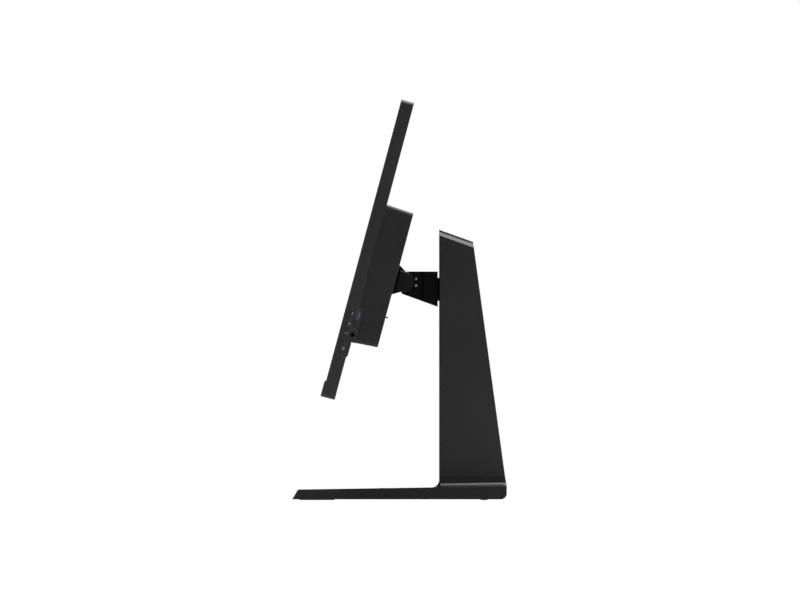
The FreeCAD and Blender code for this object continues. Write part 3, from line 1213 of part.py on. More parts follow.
def make_side_ports():
    mouth = side_x + " - plate_thick - seam"
    plate = new_body("PortPlate")
    y, z = side_plate_box("0")
    block(plate, (side_x + " - plate_thick", side_x), y, z)
    rounded(plate, "plate_round", lambda edge: runs_along(edge, "x"))
    through = (side_x + " - 2 * plate_thick", side_x + " + 1")
    block(plate, through, (slab_back_y + " + ridge_proud", "-plate_rear + 1"),
          ("-plate_low - 1", "-box_drop"), cut=True)
    block(plate, through, about("port_y", "usb_high - 2 * usb_wall + 2 * hole_gap"),
          about("usb_z", "usb_wide - 2 * usb_wall + 2 * hole_gap"), cut=True)
    block(plate, through, about("port_y", "usb_c_high"), about("usb_c_z", "usb_c_wide"), cut=True)
    rod(plate, "x", (through[0], "port_y", "audio_z"), "4 * plate_thick", "jack_ring + hole_gap", cut=True)
    rod(plate, "x", (through[0], "button_y", "button_z"), "4 * plate_thick",
        "button_radius + button_gap", cut=True)
    part_of_display(plate, "side_port_plate")

    shell = new_body("UsbShell")
    shell_x = ("%s - usb_deep" % mouth, mouth)
    block(shell, shell_x, about("port_y", "usb_high"), about("usb_z", "usb_wide"))
    block(shell, ("%s - usb_deep + usb_wall" % mouth, mouth + " + 1"),
          about("port_y", "usb_high - 2 * usb_wall"), about("usb_z", "usb_wide - 2 * usb_wall"), cut=True)
    part_of_display(shell, "side_usb_shell")

    small = new_body("UsbC")
    block(small, ("%s - usb_c_deep" % mouth, mouth), about("port_y", "usb_c_high"),
          about("usb_c_z", "usb_c_wide"))
    rounded(small, "usb_c_high * 0.45", lambda edge: runs_along(edge, "x"))
    block(small, ("%s - usb_c_deep + 1" % mouth, mouth + " + 1"),
          about("port_y", "usb_c_high - 2 * usb_c_wall"),
          about("usb_c_z", "usb_c_wide - 2 * usb_c_high * 0.45"), cut=True)
    block(small, ("%s - usb_c_deep" % mouth, mouth + " - 1"), about("port_y", "usb_c_blade_thick"),
          about("usb_c_z", "usb_c_blade_wide"))
    part_of_display(small, "side_usb_c")

    jack = new_body("Jack")
    block(jack, ("%s - jack_deep" % mouth, mouth), about("port_y", "usb_high"),
          about("audio_z", "2 * jack_ring"))
    rod(jack, "x", (mouth, "port_y", "audio_z"), "plate_thick", "jack_ring")
    rod(jack, "x", ("%s - jack_deep + 1" % mouth, "port_y", "audio_z"), "2 * jack_deep", "jack_bore",
        cut=True)
    part_of_display(jack, "headset_jack")

    board = new_body("SideBoard")
    board_front = "port_y - usb_high / 2 - board_thick"
    board_x = ("%s - io_board_wide" % mouth, "%s - 2 * hole_gap" % mouth)
    board_low = "audio_z - io_board_drop"
    block(board, board_x, (board_front, board_front + " + board_thick"),
          (board_low, board_low + " + io_board_tall"))
    part_of_display(board, "side_io_board")

    button = new_body("PowerButton")
    face = side_x + " + button_proud"
    start = side_x + " - plate_thick + button_flange"
    rod(button, "x", (start, "button_y", "button_z"), "%s - (%s)" % (face, start), "button_radius")
    rounded(button, "button_gap * 2", lambda edge: on_plane(edge, "x", number(face)))
    rod(button, "x", (side_x + " - plate_thick - button_stem", "button_y", "button_z"), "button_stem + 1",
        "button_radius / 2")
    part_of_display(button, "power_button")

    switch = new_body("PowerSwitch")
    stop = side_x + " - plate_thick - button_stem - button_travel - seam"
    foot = stop + " - switch_tall"
    block(switch, (foot, stop), about("button_y", "switch_wide"), about("button_z", "switch_wide"))
    block(switch, (foot + " - board_thick", foot), about("button_y", "switch_wide"),
          about("button_z", "switch_board"))
    part_of_display(switch, "power_switch")


# ---- the computer in the box ----

def make_rear_ports():
    """The bracket over the port bay, and the shells of the ports that face down through it."""
    deep = "(-box_drop + %s + bay_deep)" % box_taper
    mouth = side_x + " - plate_thick - seam"
    side_tongue = "port_y + usb_high / 2 - usb_wall"
    usb_tongues = [solid_block(("%s - usb_deep + usb_wall" % mouth, mouth + " - tongue_short"),
                               (side_tongue + " - tongue_thick", side_tongue),
                               about("usb_z", "side_tongue_wide"))]
    other_tongues = []
    bracket = new_body("PortBracket")
    block(bracket, about("bay_x", "bay_wide + 4 * bay_rim"), ("-bay_front - bay_rim", "-bay_rear + bay_rim"),
          (deep, deep + " + bracket_thick"))
    ports = []
    middle_y = "(-(bay_front + bay_rear) / 2)"
    mouth_z = deep + " - shell_proud"
    end_z = deep + " + shell_deep"
    for x, wide, high, kind in port_row():
        middle_x = "bay_x + (%s)" % x
        block(bracket, about(middle_x, wide + " + 2 * hole_clear"),
              about(middle_y, high + " + 2 * hole_clear"),
              (deep + " - 1", deep + " + bracket_thick + 1"), cut=True)
        port = new_body("Port")
        block(port, about(middle_x, wide), about(middle_y, high), (mouth_z, end_z))
        block(port, about(middle_x, wide + " - 2 * shell_sheet"),
              about(middle_y, high + " - 2 * shell_sheet"),
              (mouth_z + " - 1", end_z + " - 2 * shell_sheet"), cut=True)
        ports.append(port)
        if kind == "socket":
            continue
        low = "%s - (%s) / 2 + shell_sheet" % (middle_y, high)
        tongue_wide = wide + " - 2 * shell_sheet - 2 * tongue_inset"
        tongue = solid_block(about(middle_x, tongue_wide), (low, low + " + tongue_thick"),
                             (mouth_z + " + tongue_short", end_z + " - 2 * shell_sheet"))
        (usb_tongues if kind == "usb" else other_tongues).append(tongue)
    part_of_display(bracket, "port_bracket")
    group("rear_port_shells", ports)
    group("usb_tongues", usb_tongues)
    group("plug_blades", other_tongues)


def port_row():
    """Each port's place along the bay, its width and height, and what is in it."""
    row = [
        ("power_x", "power_wide", "power_high", "blade"),
        ("video_x", "video_wide", "video_high", "blade"),
        ("monitor_x", "monitor_wide", "monitor_high", "blade"),
        ("network_x", "network_wide", "network_high", "socket"),
    ]
    for step in range(4):
        row.append(("rear_usb_x + %d * rear_usb_pitch" % step, "rear_usb_wide", "rear_usb_high", "usb"))
    return row


def make_electronics():
    chassis = new_body("Chassis")
    chassis_y = ("-chassis_back - chassis_thick", "-chassis_back")
    block(chassis, about("0", "chassis_wide"), chassis_y, about("0", "chassis_tall"))
    pad_long = "-chassis_back - chassis_thick - (%s)" % tray_back_y
    for x, z in [(x + "pad_x", z + "pad_z") for x in ("-", "") for z in ("-", "")]:
        rod(chassis, "y", (x, tray_back_y, z), pad_long + " + chassis_thick / 2", "pad_radius")
    part_of_display(chassis, "chassis_plate")

    main_back = "(board_thick - main_front)"
    board = new_body("MainBoard")
    block(board, about("main_x", "main_wide"), ("-main_front", main_back), ("-main_low", "main_top"))
    for x, z in [("main_x %s post_x" % sign, z) for sign in "-+" for z in ("post_high", "-post_low")]:
        rod(board, "y", (x, "-chassis_back", z), "chassis_back - main_front", "post_radius")
    block(board, about("main_x + cell_x", "cell_wide"), (main_back, main_back + " + cell_tall"),
          about("cell_z", "cell_wide"))
    block(board, about("main_x + plug_x", "plug_wide"), (main_back, main_back + " + plug_tall"),
          about("plug_z", "plug_high"))
    part_of_display(board, "main_board")

    chip = new_body("Chip")
    block(chip, about("chip_x", "chip_wide"), (main_back, main_back + " + chip_tall"),
          about("chip_z", "chip_wide"))
    part_of_display(chip, "processor")
    spreader_y = ("%s + chip_tall" % main_back, "%s + chip_tall + spreader_thick" % main_back)
    spreader = new_body("Spreader")
    block(spreader, about("chip_x", "spreader_wide"), spreader_y, about("chip_z", "spreader_wide * 0.8"))
    part_of_display(spreader, "heat_spreader")

    fins_low = "blower_z + blower_radius + fin_space"
    fins_left = "blower_x - blower_radius + fin_space"
    fin_pitch = "((2 * blower_radius - 2 * fin_space) / fin_count)"
    fins = new_body("Fins")
    fin_y = ("-blower_front", "-blower_front + fin_deep")
    block(fins, (fins_left, "%s + (fin_count - 1) * %s + fin_thick" % (fins_left, fin_pitch)),
          (fin_y[0], fin_y[0] + " + fin_thick"), (fins_low, fins_low + " + fin_tall"))
    fin = block(fins, (fins_left, fins_left + " + fin_thick"), fin_y, (fins_low, fins_low + " + fin_tall"))
    row_of(fins, fin, "X", "fin_count", fin_pitch)
    part_of_display(fins, "fin_stack")

    blower = new_body("Blower")
    rod(blower, "y", ("blower_x", "-blower_front", "blower_z"), "blower_deep", "blower_radius")
    outlet = "2 * blower_radius - 2 * duct_trim"
    block(blower, about("blower_x", outlet), ("-blower_front", "-blower_front + blower_deep"),
          ("blower_z", "blower_z + blower_radius + fin_space / 2"))
    rod(blower, "y", ("blower_x", "-blower_front + blower_wall", "blower_z"), "blower_deep - 2 * blower_wall",
        "blower_radius - blower_wall", cut=True)
    block(blower, about("blower_x", outlet + " - 2 * blower_wall"),
          ("-blower_front + blower_wall", "-blower_front + blower_deep - blower_wall"),
          ("blower_z", "blower_z + blower_radius + fin_space"), cut=True)
    rod(blower, "y", ("blower_x", "-blower_front + blower_deep - 2 * blower_wall", "blower_z"),
        "2 * blower_deep", "wheel_radius - inlet_ring", cut=True)
    part_of_display(blower, "blower_case")

    wheel = new_body("Wheel")
    rod(wheel, "z", ("0", "0", "0"), "wheel_deep", "wheel_hub")
    blade = block(wheel, ("wheel_hub - 1", "wheel_radius"), about("0", "blade_thick"), ("1", "wheel_deep"))
    blades = wheel.newObject("PartDesign::PolarPattern", "Blades")
    blades.Originals = [blade]
    blades.Axis = (origin(wheel, "Z_Axis"), [""])
    blades.Angle = 360
    bind(blades, Occurrences="blade_count")
    wheel.Tip = blades
    spot = ("blower_x", "-blower_front + blower_wall + wheel_lift", "blower_z")
    part_of_display(wheel, "blower_wheel", spot, (1, 0, 0, -90))

    memory = []
    memory_y = (main_back + " + memory_lift", main_back + " + memory_lift + memory_thick")
    for step in ("-memory_pitch / 2", "memory_pitch / 2"):
        memory.append(solid_block(about("door_x - memory_shift", "memory_wide"), memory_y,
                                  about("door_z + (%s)" % step, "memory_tall")))
    group("memory_modules", memory)
    card = new_body("SolidStateDrive")
    card_y = (main_back + " + card_lift", main_back + " + card_lift + card_thick")
    block(card, about("door_x + card_shift", "card_wide"), card_y, about("door_z - card_drop", "card_long"))
    part_of_display(card, "solid_state_drive")

    caddy = new_body("Caddy")
    floor_y = "-caddy_front + caddy_floor"
    rim_y = floor_y + " + drive_thick + caddy_floor"
    block(caddy, about("drive_x", "drive_wide + 2 * caddy_wall"), ("-caddy_front", rim_y),
          about("drive_z", "drive_tall + 2 * caddy_wall"))
    block(caddy, about("drive_x", "drive_wide + 2 * caddy_gap"), (floor_y, "0"),
          about("drive_z", "drive_tall + 2 * caddy_gap"), cut=True)
    for x in ("drive_x - caddy_post", "drive_x + caddy_post"):
        rod(caddy, "y", (x, "-chassis_back", "drive_z + caddy_post"), "chassis_back - caddy_front",
            "caddy_post_radius")
    part_of_display(caddy, "drive_caddy")
    drive = new_body("Drive")
    block(drive, about("drive_x", "drive_wide"), (floor_y, floor_y + " + drive_thick"),
          about("drive_z", "drive_tall"))
    rounded(drive, "drive_round", lambda edge: runs_along(edge, "y"))
    part_of_display(drive, "disk_drive")


def make_heat_pipes():
    """Two round pipes that run from the processor along the box, turn up, and end along the fins."""
    spreader_face = number("board_thick - main_front + chip_tall + spreader_thick")
    radius, bend = number("pipe_radius"), number("pipe_bend")
    left, right = number("chip_x - spreader_wide / 2"), number("blower_x + blower_radius - pipe_inset")
    fins_middle = number("blower_z + blower_radius + fin_space + fin_tall / 2")
    turn_x = number("blower_x - blower_radius - pipe_lead")
    pipes = []
    for index in (0, 1):
        low = number("chip_z - pipe_drop") - index * number("pipe_gap")
        high = fins_middle - (2 * index - 1) * (radius + number("pipe_space"))
        depth = spreader_face + radius
        corner = turn_x - index * number("pipe_gap")
        rise = high - low
        reach = min(bend, rise / 2)
        knots = [
            Vector(left, depth, low),
            Vector(corner - reach, depth, low),
            Vector(corner, depth, low + reach),
            Vector(corner, depth, high - reach),
            Vector(corner + reach, depth, high),
            Vector(right, depth, high),
        ]
        slant = reach * (1 - math.sqrt(0.5))
        first = Vector(corner - slant, depth, low + slant)
        second = Vector(corner + slant, depth, high - slant)
        edges = [
            Part.LineSegment(knots[0], knots[1]).toShape(),
            Part.Arc(knots[1], first, knots[2]).toShape(),
        ]
        if (knots[3] - knots[2]).Length > 0.01:
            edges.append(Part.LineSegment(knots[2], knots[3]).toShape())
        edges.append(Part.Arc(knots[3], second, knots[4]).toShape())
        edges.append(Part.LineSegment(knots[4], knots[5]).toShape())
        path = Part.Wire(edges)
        ring = Part.Wire([Part.Circle(knots[0], Vector(1, 0, 0), radius).toShape()])
        pipes.append(path.makePipeShell([ring], True, False))
    feature = doc.addObject("Part::Feature", "HeatPipes")
    feature.Shape = Part.makeCompound(pipes)
    part_of_display(feature, "heat_pipes")


makers = [
    make_base, make_feet, make_base_screws, make_column, make_lift, make_arm, make_hinge, make_mount,
    make_front, make_chin, make_camera, make_rear_cover, make_housing, make_display_screws, make_door,
    make_side_ports, make_rear_ports, make_electronics, make_heat_pipes,
]
for make in makers:
    make()
doc.recompute()

faults = []
for thing in doc.Objects:
    if "Invalid" in thing.State or "Error" in thing.State:
        faults.append("%s: %s" % (thing.Label, thing.State))
for piece in parts:
    if piece.Shape.isNull() or not piece.Shape.isValid() or not piece.Shape.Solids:
        faults.append("%s: no valid solid" % piece.Label)
if faults:
    raise SystemExit("\n".join(faults))

os.makedirs("parts", exist_ok=True)
for piece in parts:
    piece.Shape.exportStep("parts/%s.step" % piece.Label)
    box = piece.Shape.BoundBox
    print("%-20s %2d solids %10.0f mm3  x %7.1f %7.1f  y %7.1f %7.1f  z %7.1f %7.1f" % (
        piece.Label, len(piece.Shape.Solids), piece.Shape.Volume,
        box.XMin, box.XMax, box.YMin, box.YMax, box.ZMin, box.ZMax))
print(len(parts), "pieces")
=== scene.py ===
import json
import math

import bmesh
import bpy
import numpy as np
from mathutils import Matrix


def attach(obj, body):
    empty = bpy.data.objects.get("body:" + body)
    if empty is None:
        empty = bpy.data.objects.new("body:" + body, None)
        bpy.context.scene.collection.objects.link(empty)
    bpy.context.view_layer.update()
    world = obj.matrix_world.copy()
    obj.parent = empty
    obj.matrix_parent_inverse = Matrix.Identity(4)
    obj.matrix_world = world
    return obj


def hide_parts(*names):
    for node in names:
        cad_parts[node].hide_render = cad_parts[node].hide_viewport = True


# An all in one computer on a lifting stand. The CAD model is the frame; this script gives each of its pieces
# a finish and adds the fine pieces that the frame leaves out. Lengths are in metres.

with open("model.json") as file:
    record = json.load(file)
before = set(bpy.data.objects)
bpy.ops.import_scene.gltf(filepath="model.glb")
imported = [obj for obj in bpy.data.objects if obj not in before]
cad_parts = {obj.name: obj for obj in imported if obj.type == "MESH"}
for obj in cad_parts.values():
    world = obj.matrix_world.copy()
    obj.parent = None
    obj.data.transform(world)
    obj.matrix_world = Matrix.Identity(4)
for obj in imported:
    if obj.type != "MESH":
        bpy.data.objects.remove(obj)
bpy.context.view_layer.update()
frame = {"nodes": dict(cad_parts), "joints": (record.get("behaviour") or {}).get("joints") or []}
nodes = frame["nodes"]
mm = 0.001
print("frame:", len(nodes), "CAD nodes")

# The display leans about its tilt hinge, so its fine pieces are worked out upright about the hinge (x across,
# y to the rear, z up) and then leaned with it. The blower's axle is square to the screen and gives the lean.
joints = {joint["name"]: joint for joint in frame["joints"]}
hingePoint = np.array(joints["tilt"]["pos_m"])
axle = joints["blower_spin"]["axis"]
lean = math.atan2(-axle[2], axle[1])
leanTurn = np.array([[1, 0, 0], [0, math.cos(lean), math.sin(lean)],
                     [0, -math.sin(lean), math.cos(lean)]])


def leaned(points):
    # each upright point turned by the lean about x, then carried to the hinge
    return np.asarray(points, float) @ leanTurn.T + hingePoint


def meshPoints(name):
    mesh = nodes[name].data
    places = np.empty(len(mesh.vertices) * 3, np.float32)
    mesh.vertices.foreach_get("co", places)
    return places.reshape(-1, 3).astype(float)


def uprightPoints(name):
    # the points of a display node with the display upright about its hinge
    return (meshPoints(name) - hingePoint) @ leanTurn


def uprightBox(name):
    places = uprightPoints(name)
    return places.min(0), places.max(0)


def clusters(points, across, reach):
    # the box of each group of points that lie within a reach of each other in two of the three directions
    boxes, left = [], points
    while len(left):
        near = np.linalg.norm(left[:, across] - left[0, across], axis=1) < reach
        boxes.append((left[near].min(0), left[near].max(0)))
        left = left[~near]
    return boxes


# Mesh helpers: a shape is a pair of arrays, its points and its quads.

def gridQuads(rows, columns, wrapRows=False, wrapColumns=False):
    # one quad between each four neighbouring points of a grid
    row = np.arange(rows if wrapRows else rows - 1)
    column = np.arange(columns if wrapColumns else columns - 1)
    a, b = np.meshgrid(row, column, indexing="ij")
    nextA, nextB = (a + 1) % rows, (b + 1) % columns
    quads = [a * columns + b, a * columns + nextB, nextA * columns + nextB, nextA * columns + b]
    return np.stack(quads, -1).reshape(-1, 4)


def gridShape(points, wrapRows=False, wrapColumns=False):
    rows, columns = points.shape[:2]
    return points.reshape(-1, 3), gridQuads(rows, columns, wrapRows, wrapColumns)


def stacked(shapes):
    starts = np.cumsum([0] + [len(points) for points, quads in shapes[:-1]])
    allPoints = np.concatenate([points for points, quads in shapes])
    allQuads = np.concatenate([quads + start for (points, quads), start in zip(shapes, starts)])
    return allPoints, allQuads


def turned(shape, origin, xAxis, yAxis, zAxis):
    # the shape with its own axes laid along three others, about an origin
    points, quads = shape
    return points @ np.array([xAxis, yAxis, zAxis], float) + np.asarray(origin, float), quads


def makePiece(name, shape, body, material, sharpAngle=35):
    # a closed mesh with merged seams and outward faces, which rides on a body
    points, quads = shape
    mesh = bpy.data.meshes.new(name)
    mesh.from_pydata(points.tolist(), [], quads.tolist())
    work = bmesh.new()
    work.from_mesh(mesh)
    bmesh.ops.remove_doubles(work, verts=work.verts, dist=3e-7)
    bmesh.ops.recalc_face_normals(work, faces=work.faces)
    work.to_mesh(mesh)
    work.free()
    mesh.shade_smooth()
    mesh.set_sharp_from_angle(angle=math.radians(sharpAngle))
    mesh.materials.append(material)
    piece = bpy.data.objects.new(name, mesh)
    bpy.context.scene.collection.objects.link(piece)
    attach(piece, body)
    return piece


def lathe(profile, around=32):
    # a profile of (radius, height) points carried round the z axis: x = r cos a, y = r sin a, z = h
    radius, height = np.array(profile, float).T
    angle = np.linspace(0, 2 * np.pi, around, endpoint=False)
    x, y = radius[:, None] * np.cos(angle), radius[:, None] * np.sin(angle)
    return gridShape(np.stack([x, y, np.repeat(height[:, None], around, 1)], -1), wrapColumns=True)


def roundedOutline(wide, tall, corner, steps=5):
    # a rectangle with quarter circles at its corners, as one closed line of points in a plane
    quarter = np.linspace(0, np.pi / 2, steps)
    corners = []
    for turn, (sideX, sideY) in enumerate(((1, 1), (-1, 1), (-1, -1), (1, -1))):
        angle = quarter + turn * np.pi / 2
        x = sideX * (wide / 2 - corner) + corner * np.cos(angle)
        y = sideY * (tall / 2 - corner) + corner * np.sin(angle)
        corners.append(np.stack([x, y], -1))
    return np.concatenate(corners)


def slab(outline, thick, edge, crown=0.0, steps=3):
    # a flat piece: its outline carried up from z = 0 to a thickness and drawn in along a quarter circle at
    # the top edge, then closed to its middle, which a crown may raise
    middle = outline.mean(0)
    outward = np.roll(outline, -1, 0) - np.roll(outline, 1, 0)
    outward = np.stack([outward[:, 1], -outward[:, 0]], -1)
    outward /= np.maximum(np.linalg.norm(outward, axis=1, keepdims=True), 1e-12)
    angle = np.linspace(0, np.pi / 2, steps)
    rings = [(0.0, 0.0)] + [(edge * (1 - math.cos(a)), thick - edge + edge * math.sin(a)) for a in angle]
    layers = [np.column_stack([outline - outward * inset, np.full(len(outline), z)]) for inset, z in rings]
    top = layers[-1]
    for share in (0.66, 0.33, 0.0):
        ring = top.copy()
        ring[:, :2] = middle + (top[:, :2] - middle) * share
        ring[:, 2] = thick + crown * (1 - share ** 2)
        layers.append(ring)
    under = layers[0].copy()
    under[:, :2] = middle
    return gridShape(np.stack([under] + layers), wrapColumns=True)


def sweep(path, section, up, closed=False):
    # a section of (sideways, upward) points carried along a path; sideways is square to the path and to up
    path, section, up = np.asarray(path, float), np.asarray(section, float), np.asarray(up, float)
    ahead = np.roll(path, -1, 0) - np.roll(path, 1, 0) if closed else np.gradient(path, axis=0)
    sideways = np.cross(ahead, up)
    sideways /= np.linalg.norm(sideways, axis=1, keepdims=True)
    upward = np.cross(sideways, ahead)
    upward /= np.linalg.norm(upward, axis=1, keepdims=True)
    rings = path[:, None] + section[:, 0, None] * sideways[:, None] + section[:, 1, None] * upward[:, None]
    if closed:
        return gridShape(rings, True, True)
    first = np.repeat(rings[:1].mean(1, keepdims=True), len(section), 1)
    last = np.repeat(rings[-1:].mean(1, keepdims=True), len(section), 1)
    return gridShape(np.concatenate([first, rings, last]), wrapColumns=True)


# Shader helpers.

def shader(tree, kind, inputs=None, **settings):
    node = tree.nodes.new("ShaderNode" + kind)
    for key, value in settings.items():
        setattr(node, key, value)
    for key, value in (inputs or {}).items():
        node.inputs[key].default_value = value
    return node


def math2(tree, operation, first, second=0.0, clamp=False):
    # one Math node; each side is an output to link or a number
    node = shader(tree, "Math", operation=operation, use_clamp=clamp)
    for socket, value in zip(node.inputs, (first, second)):
        if isinstance(value, bpy.types.NodeSocket):
            tree.links.new(value, socket)
        else:
            socket.default_value = value
    return node.outputs[0]


def ramp(tree, value, low, high, lowTo=0.0, highTo=1.0, smooth=True):
    node = shader(tree, "MapRange", interpolation_type="SMOOTHSTEP" if smooth else "LINEAR")
    tree.links.new(value, node.inputs["Value"])
    for name, number in zip(("From Min", "From Max", "To Min", "To Max"), (low, high, lowTo, highTo)):
        if isinstance(number, bpy.types.NodeSocket):
            tree.links.new(number, node.inputs[name])
        else:
            node.inputs[name].default_value = number
    return node.outputs["Result"]


def blendColours(tree, share, first, second, kind="MIX"):
    node = shader(tree, "Mix", data_type="RGBA", blend_type=kind)
    for socket, value in zip((node.inputs[0], node.inputs[6], node.inputs[7]), (share, first, second)):
        if isinstance(value, bpy.types.NodeSocket):
            tree.links.new(value, socket)
        else:
            socket.default_value = value if socket == node.inputs[0] else (*value[:3], 1)
    return node.outputs[2]


def noise(tree, vector, scale, detail=2.0, roughness=0.5):
    node = shader(tree, "TexNoise", {"Detail": detail, "Roughness": roughness})
    tree.links.new(vector, node.inputs["Vector"])
    if isinstance(scale, bpy.types.NodeSocket):
        tree.links.new(scale, node.inputs["Scale"])
    else:
        node.inputs["Scale"].default_value = scale
    return node.outputs["Fac"]


def newGroup(name, inputs, outputs):
    # a node group with named float inputs {name: value} and float or vector outputs {name: kind}
    tree = bpy.data.node_groups.new(name, "ShaderNodeTree")
    for label, value in inputs.items():
        socket = tree.interface.new_socket(label, in_out="INPUT", socket_type="NodeSocketFloat")
        socket.default_value = value
    for label, kind in outputs.items():
        tree.interface.new_socket(label, in_out="OUTPUT", socket_type="NodeSocket" + kind)
    return tree, tree.nodes.new("NodeGroupInput"), tree.nodes.new("NodeGroupOutput")


def objectPlace(tree):
    return shader(tree, "TexCoord").outputs["Object"]


def stretched(tree, vector, scale):
    node = shader(tree, "Mapping", {"Scale": scale})
    tree.links.new(vector, node.inputs["Vector"])
    return node.outputs["Vector"]


# Effects that several finishes share. Each group puts out only masks and heights.

def makeSparkTexture():
    # the matt of a spark eroded mould: fine pits from a cell pattern over two sizes of soft noise, and a
    # broad tone that drifts over hundreds of millimetres
    tree, inputs, outputs = newGroup("sparkTexture", {"Grain Size": 0.0004},
                                     {"Height": "Float", "Tone": "Float"})
    place = objectPlace(tree)
    scale = math2(tree, "DIVIDE", 1.0, inputs.outputs["Grain Size"])
    cells = shader(tree, "TexVoronoi", feature="SMOOTH_F1")
    cells.inputs["Smoothness"].default_value = 0.6
    tree.links.new(place, cells.inputs["Vector"])
    tree.links.new(scale, cells.inputs["Scale"])
    soft = noise(tree, place, math2(tree, "MULTIPLY", scale, 0.45), 3.0, 0.6)
    pits = math2(tree, "MULTIPLY", cells.outputs["Distance"], 0.6)
    height = math2(tree, "ADD", pits, math2(tree, "MULTIPLY", soft, 0.7))
    broad = noise(tree, place, 14.0, 3.0, 0.55)
    middle = noise(tree, place, 260.0, 2.0, 0.5)
    tone = math2(tree, "ADD", math2(tree, "MULTIPLY", broad, 0.65), math2(tree, "MULTIPLY", middle, 0.35))
    tree.links.new(height, outputs.inputs["Height"])
    tree.links.new(tone, outputs.inputs["Tone"])
    return tree


def makeEdgeWearAndHighlight():
    # where the rounded normal leaves the flat one there is an edge; noise breaks up the mask, as handling
    # does. On the painted metal the mask marks real wear; on the moulded plastics it marks edges lightened
    # partly as wear and partly as a painted highlight
    tree, inputs, outputs = newGroup("edgeWearAndHighlight", {"Width": 0.0006, "Broken": 0.5}, {"Mask": "Float"})
    rounded = shader(tree, "Bevel", samples=4)
    tree.links.new(inputs.outputs["Width"], rounded.inputs["Radius"])
    flat = shader(tree, "NewGeometry")
    match = shader(tree, "VectorMath", operation="DOT_PRODUCT")
    tree.links.new(rounded.outputs["Normal"], match.inputs[0])
    tree.links.new(flat.outputs["Normal"], match.inputs[1])
    edge = ramp(tree, match.outputs["Value"], 0.995, 0.86)
    patchy = ramp(tree, noise(tree, objectPlace(tree), 190.0, 4.0, 0.65), 0.38, 0.62)
    gaps = math2(tree, "MULTIPLY", inputs.outputs["Broken"], math2(tree, "SUBTRACT", 1.0, patchy))
    kept = math2(tree, "SUBTRACT", 1.0, gaps)
    tree.links.new(math2(tree, "MULTIPLY", edge, kept, True), outputs.inputs["Mask"])
    return tree


def makeSettledDust():
    # dust lies where the surface faces up, in soft patches with fine specks
    tree, inputs, outputs = newGroup("settledDust", {"Amount": 0.3}, {"Mask": "Float"})
    facing = shader(tree, "SeparateXYZ")
    tree.links.new(shader(tree, "NewGeometry").outputs["Normal"], facing.inputs[0])
    up = ramp(tree, facing.outputs["Z"], 0.35, 0.95)
    place = objectPlace(tree)
    patches = ramp(tree, noise(tree, place, 24.0, 4.0, 0.6), 0.35, 0.75)
    specks = ramp(tree, noise(tree, place, 1500.0, 2.0, 0.5), 0.62, 0.74)
    mixed = math2(tree, "ADD", math2(tree, "MULTIPLY", patches, 0.6), math2(tree, "MULTIPLY", specks, 0.5))
    lying = math2(tree, "MULTIPLY", up, mixed)
    tree.links.new(math2(tree, "MULTIPLY", lying, inputs.outputs["Amount"], True), outputs.inputs["Mask"])
    return tree


def makeSprayPeel():
    # the orange peel of a sprayed or powder coat: rounded low swells with a finer tooth on them
    tree, inputs, outputs = newGroup("sprayPeel", {"Swell Size": 0.0012},
                                     {"Height": "Float", "Tone": "Float"})
    place = objectPlace(tree)
    scale = math2(tree, "DIVIDE", 1.0, inputs.outputs["Swell Size"])
    swell = noise(tree, place, scale, 1.5, 0.4)
    tooth = noise(tree, place, math2(tree, "MULTIPLY", scale, 4.0), 2.0, 0.6)
    height = math2(tree, "ADD", math2(tree, "MULTIPLY", swell, 0.75), math2(tree, "MULTIPLY", tooth, 0.3))
    tone = noise(tree, place, 22.0, 4.0, 0.6)
    tree.links.new(height, outputs.inputs["Height"])
    tree.links.new(tone, outputs.inputs["Tone"])
    return tree


def makeRolledLines():
    # rolled or drawn metal: noise stretched a hundred times along one direction, over a faint cloud
    tree, inputs, outputs = newGroup("rolledLines", {"Line Width": 0.0004},
                                     {"Height": "Float", "Cloud": "Float"})
    place = objectPlace(tree)
    scale = math2(tree, "DIVIDE", 1.0, inputs.outputs["Line Width"])
    lines = noise(tree, stretched(tree, place, (0.012, 1.0, 1.0)), scale, 3.0, 0.6)
    cloud = noise(tree, place, 60.0, 4.0, 0.6)
    tree.links.new(lines, outputs.inputs["Height"])
    tree.links.new(cloud, outputs.inputs["Cloud"])
    return tree


sparkTexture = makeSparkTexture()
edgeWearAndHighlight = makeEdgeWearAndHighlight()
settledDust = makeSettledDust()
sprayPeel = makeSprayPeel()
rolledLines = makeRolledLines()
print("effects: 5 groups")


def placeGroup(tree, group, **values):
    node = tree.nodes.new("ShaderNodeGroup")
    node.node_tree = group
    for key, value in values.items():
        node.inputs[key].default_value = value
    return node


def newMaterial(name, **sockets):
    material = bpy.data.materials.new(name)
    material.use_nodes = True
    tree = material.node_tree
    surface = tree.nodes["Principled BSDF"]
    for key, value in sockets.items():
        surface.inputs[key].default_value = value
    material.diffuse_color = (*surface.inputs["Base Color"].default_value[:3], 1)
    return material, tree, surface


def addBump(tree, surface, height, depth, strength=1.0):
    bump = shader(tree, "Bump", {"Strength": strength, "Distance": depth})
    tree.links.new(height, bump.inputs["Height"])
    tree.links.new(bump.outputs["Normal"], surface.inputs["Normal"])
    return bump


def grey(value, warmth=0.0):
    return (value * (1 + warmth), value, value * (1 - warmth), 1)


def swellTone(tree, height, base, top, lightness):
    # the high parts of the surface a fifth of the way to a lighter tone
    share = math2(tree, "MULTIPLY", ramp(tree, height, 0.35, top), 0.2)
    return blendColours(tree, share, base, grey(lightness))


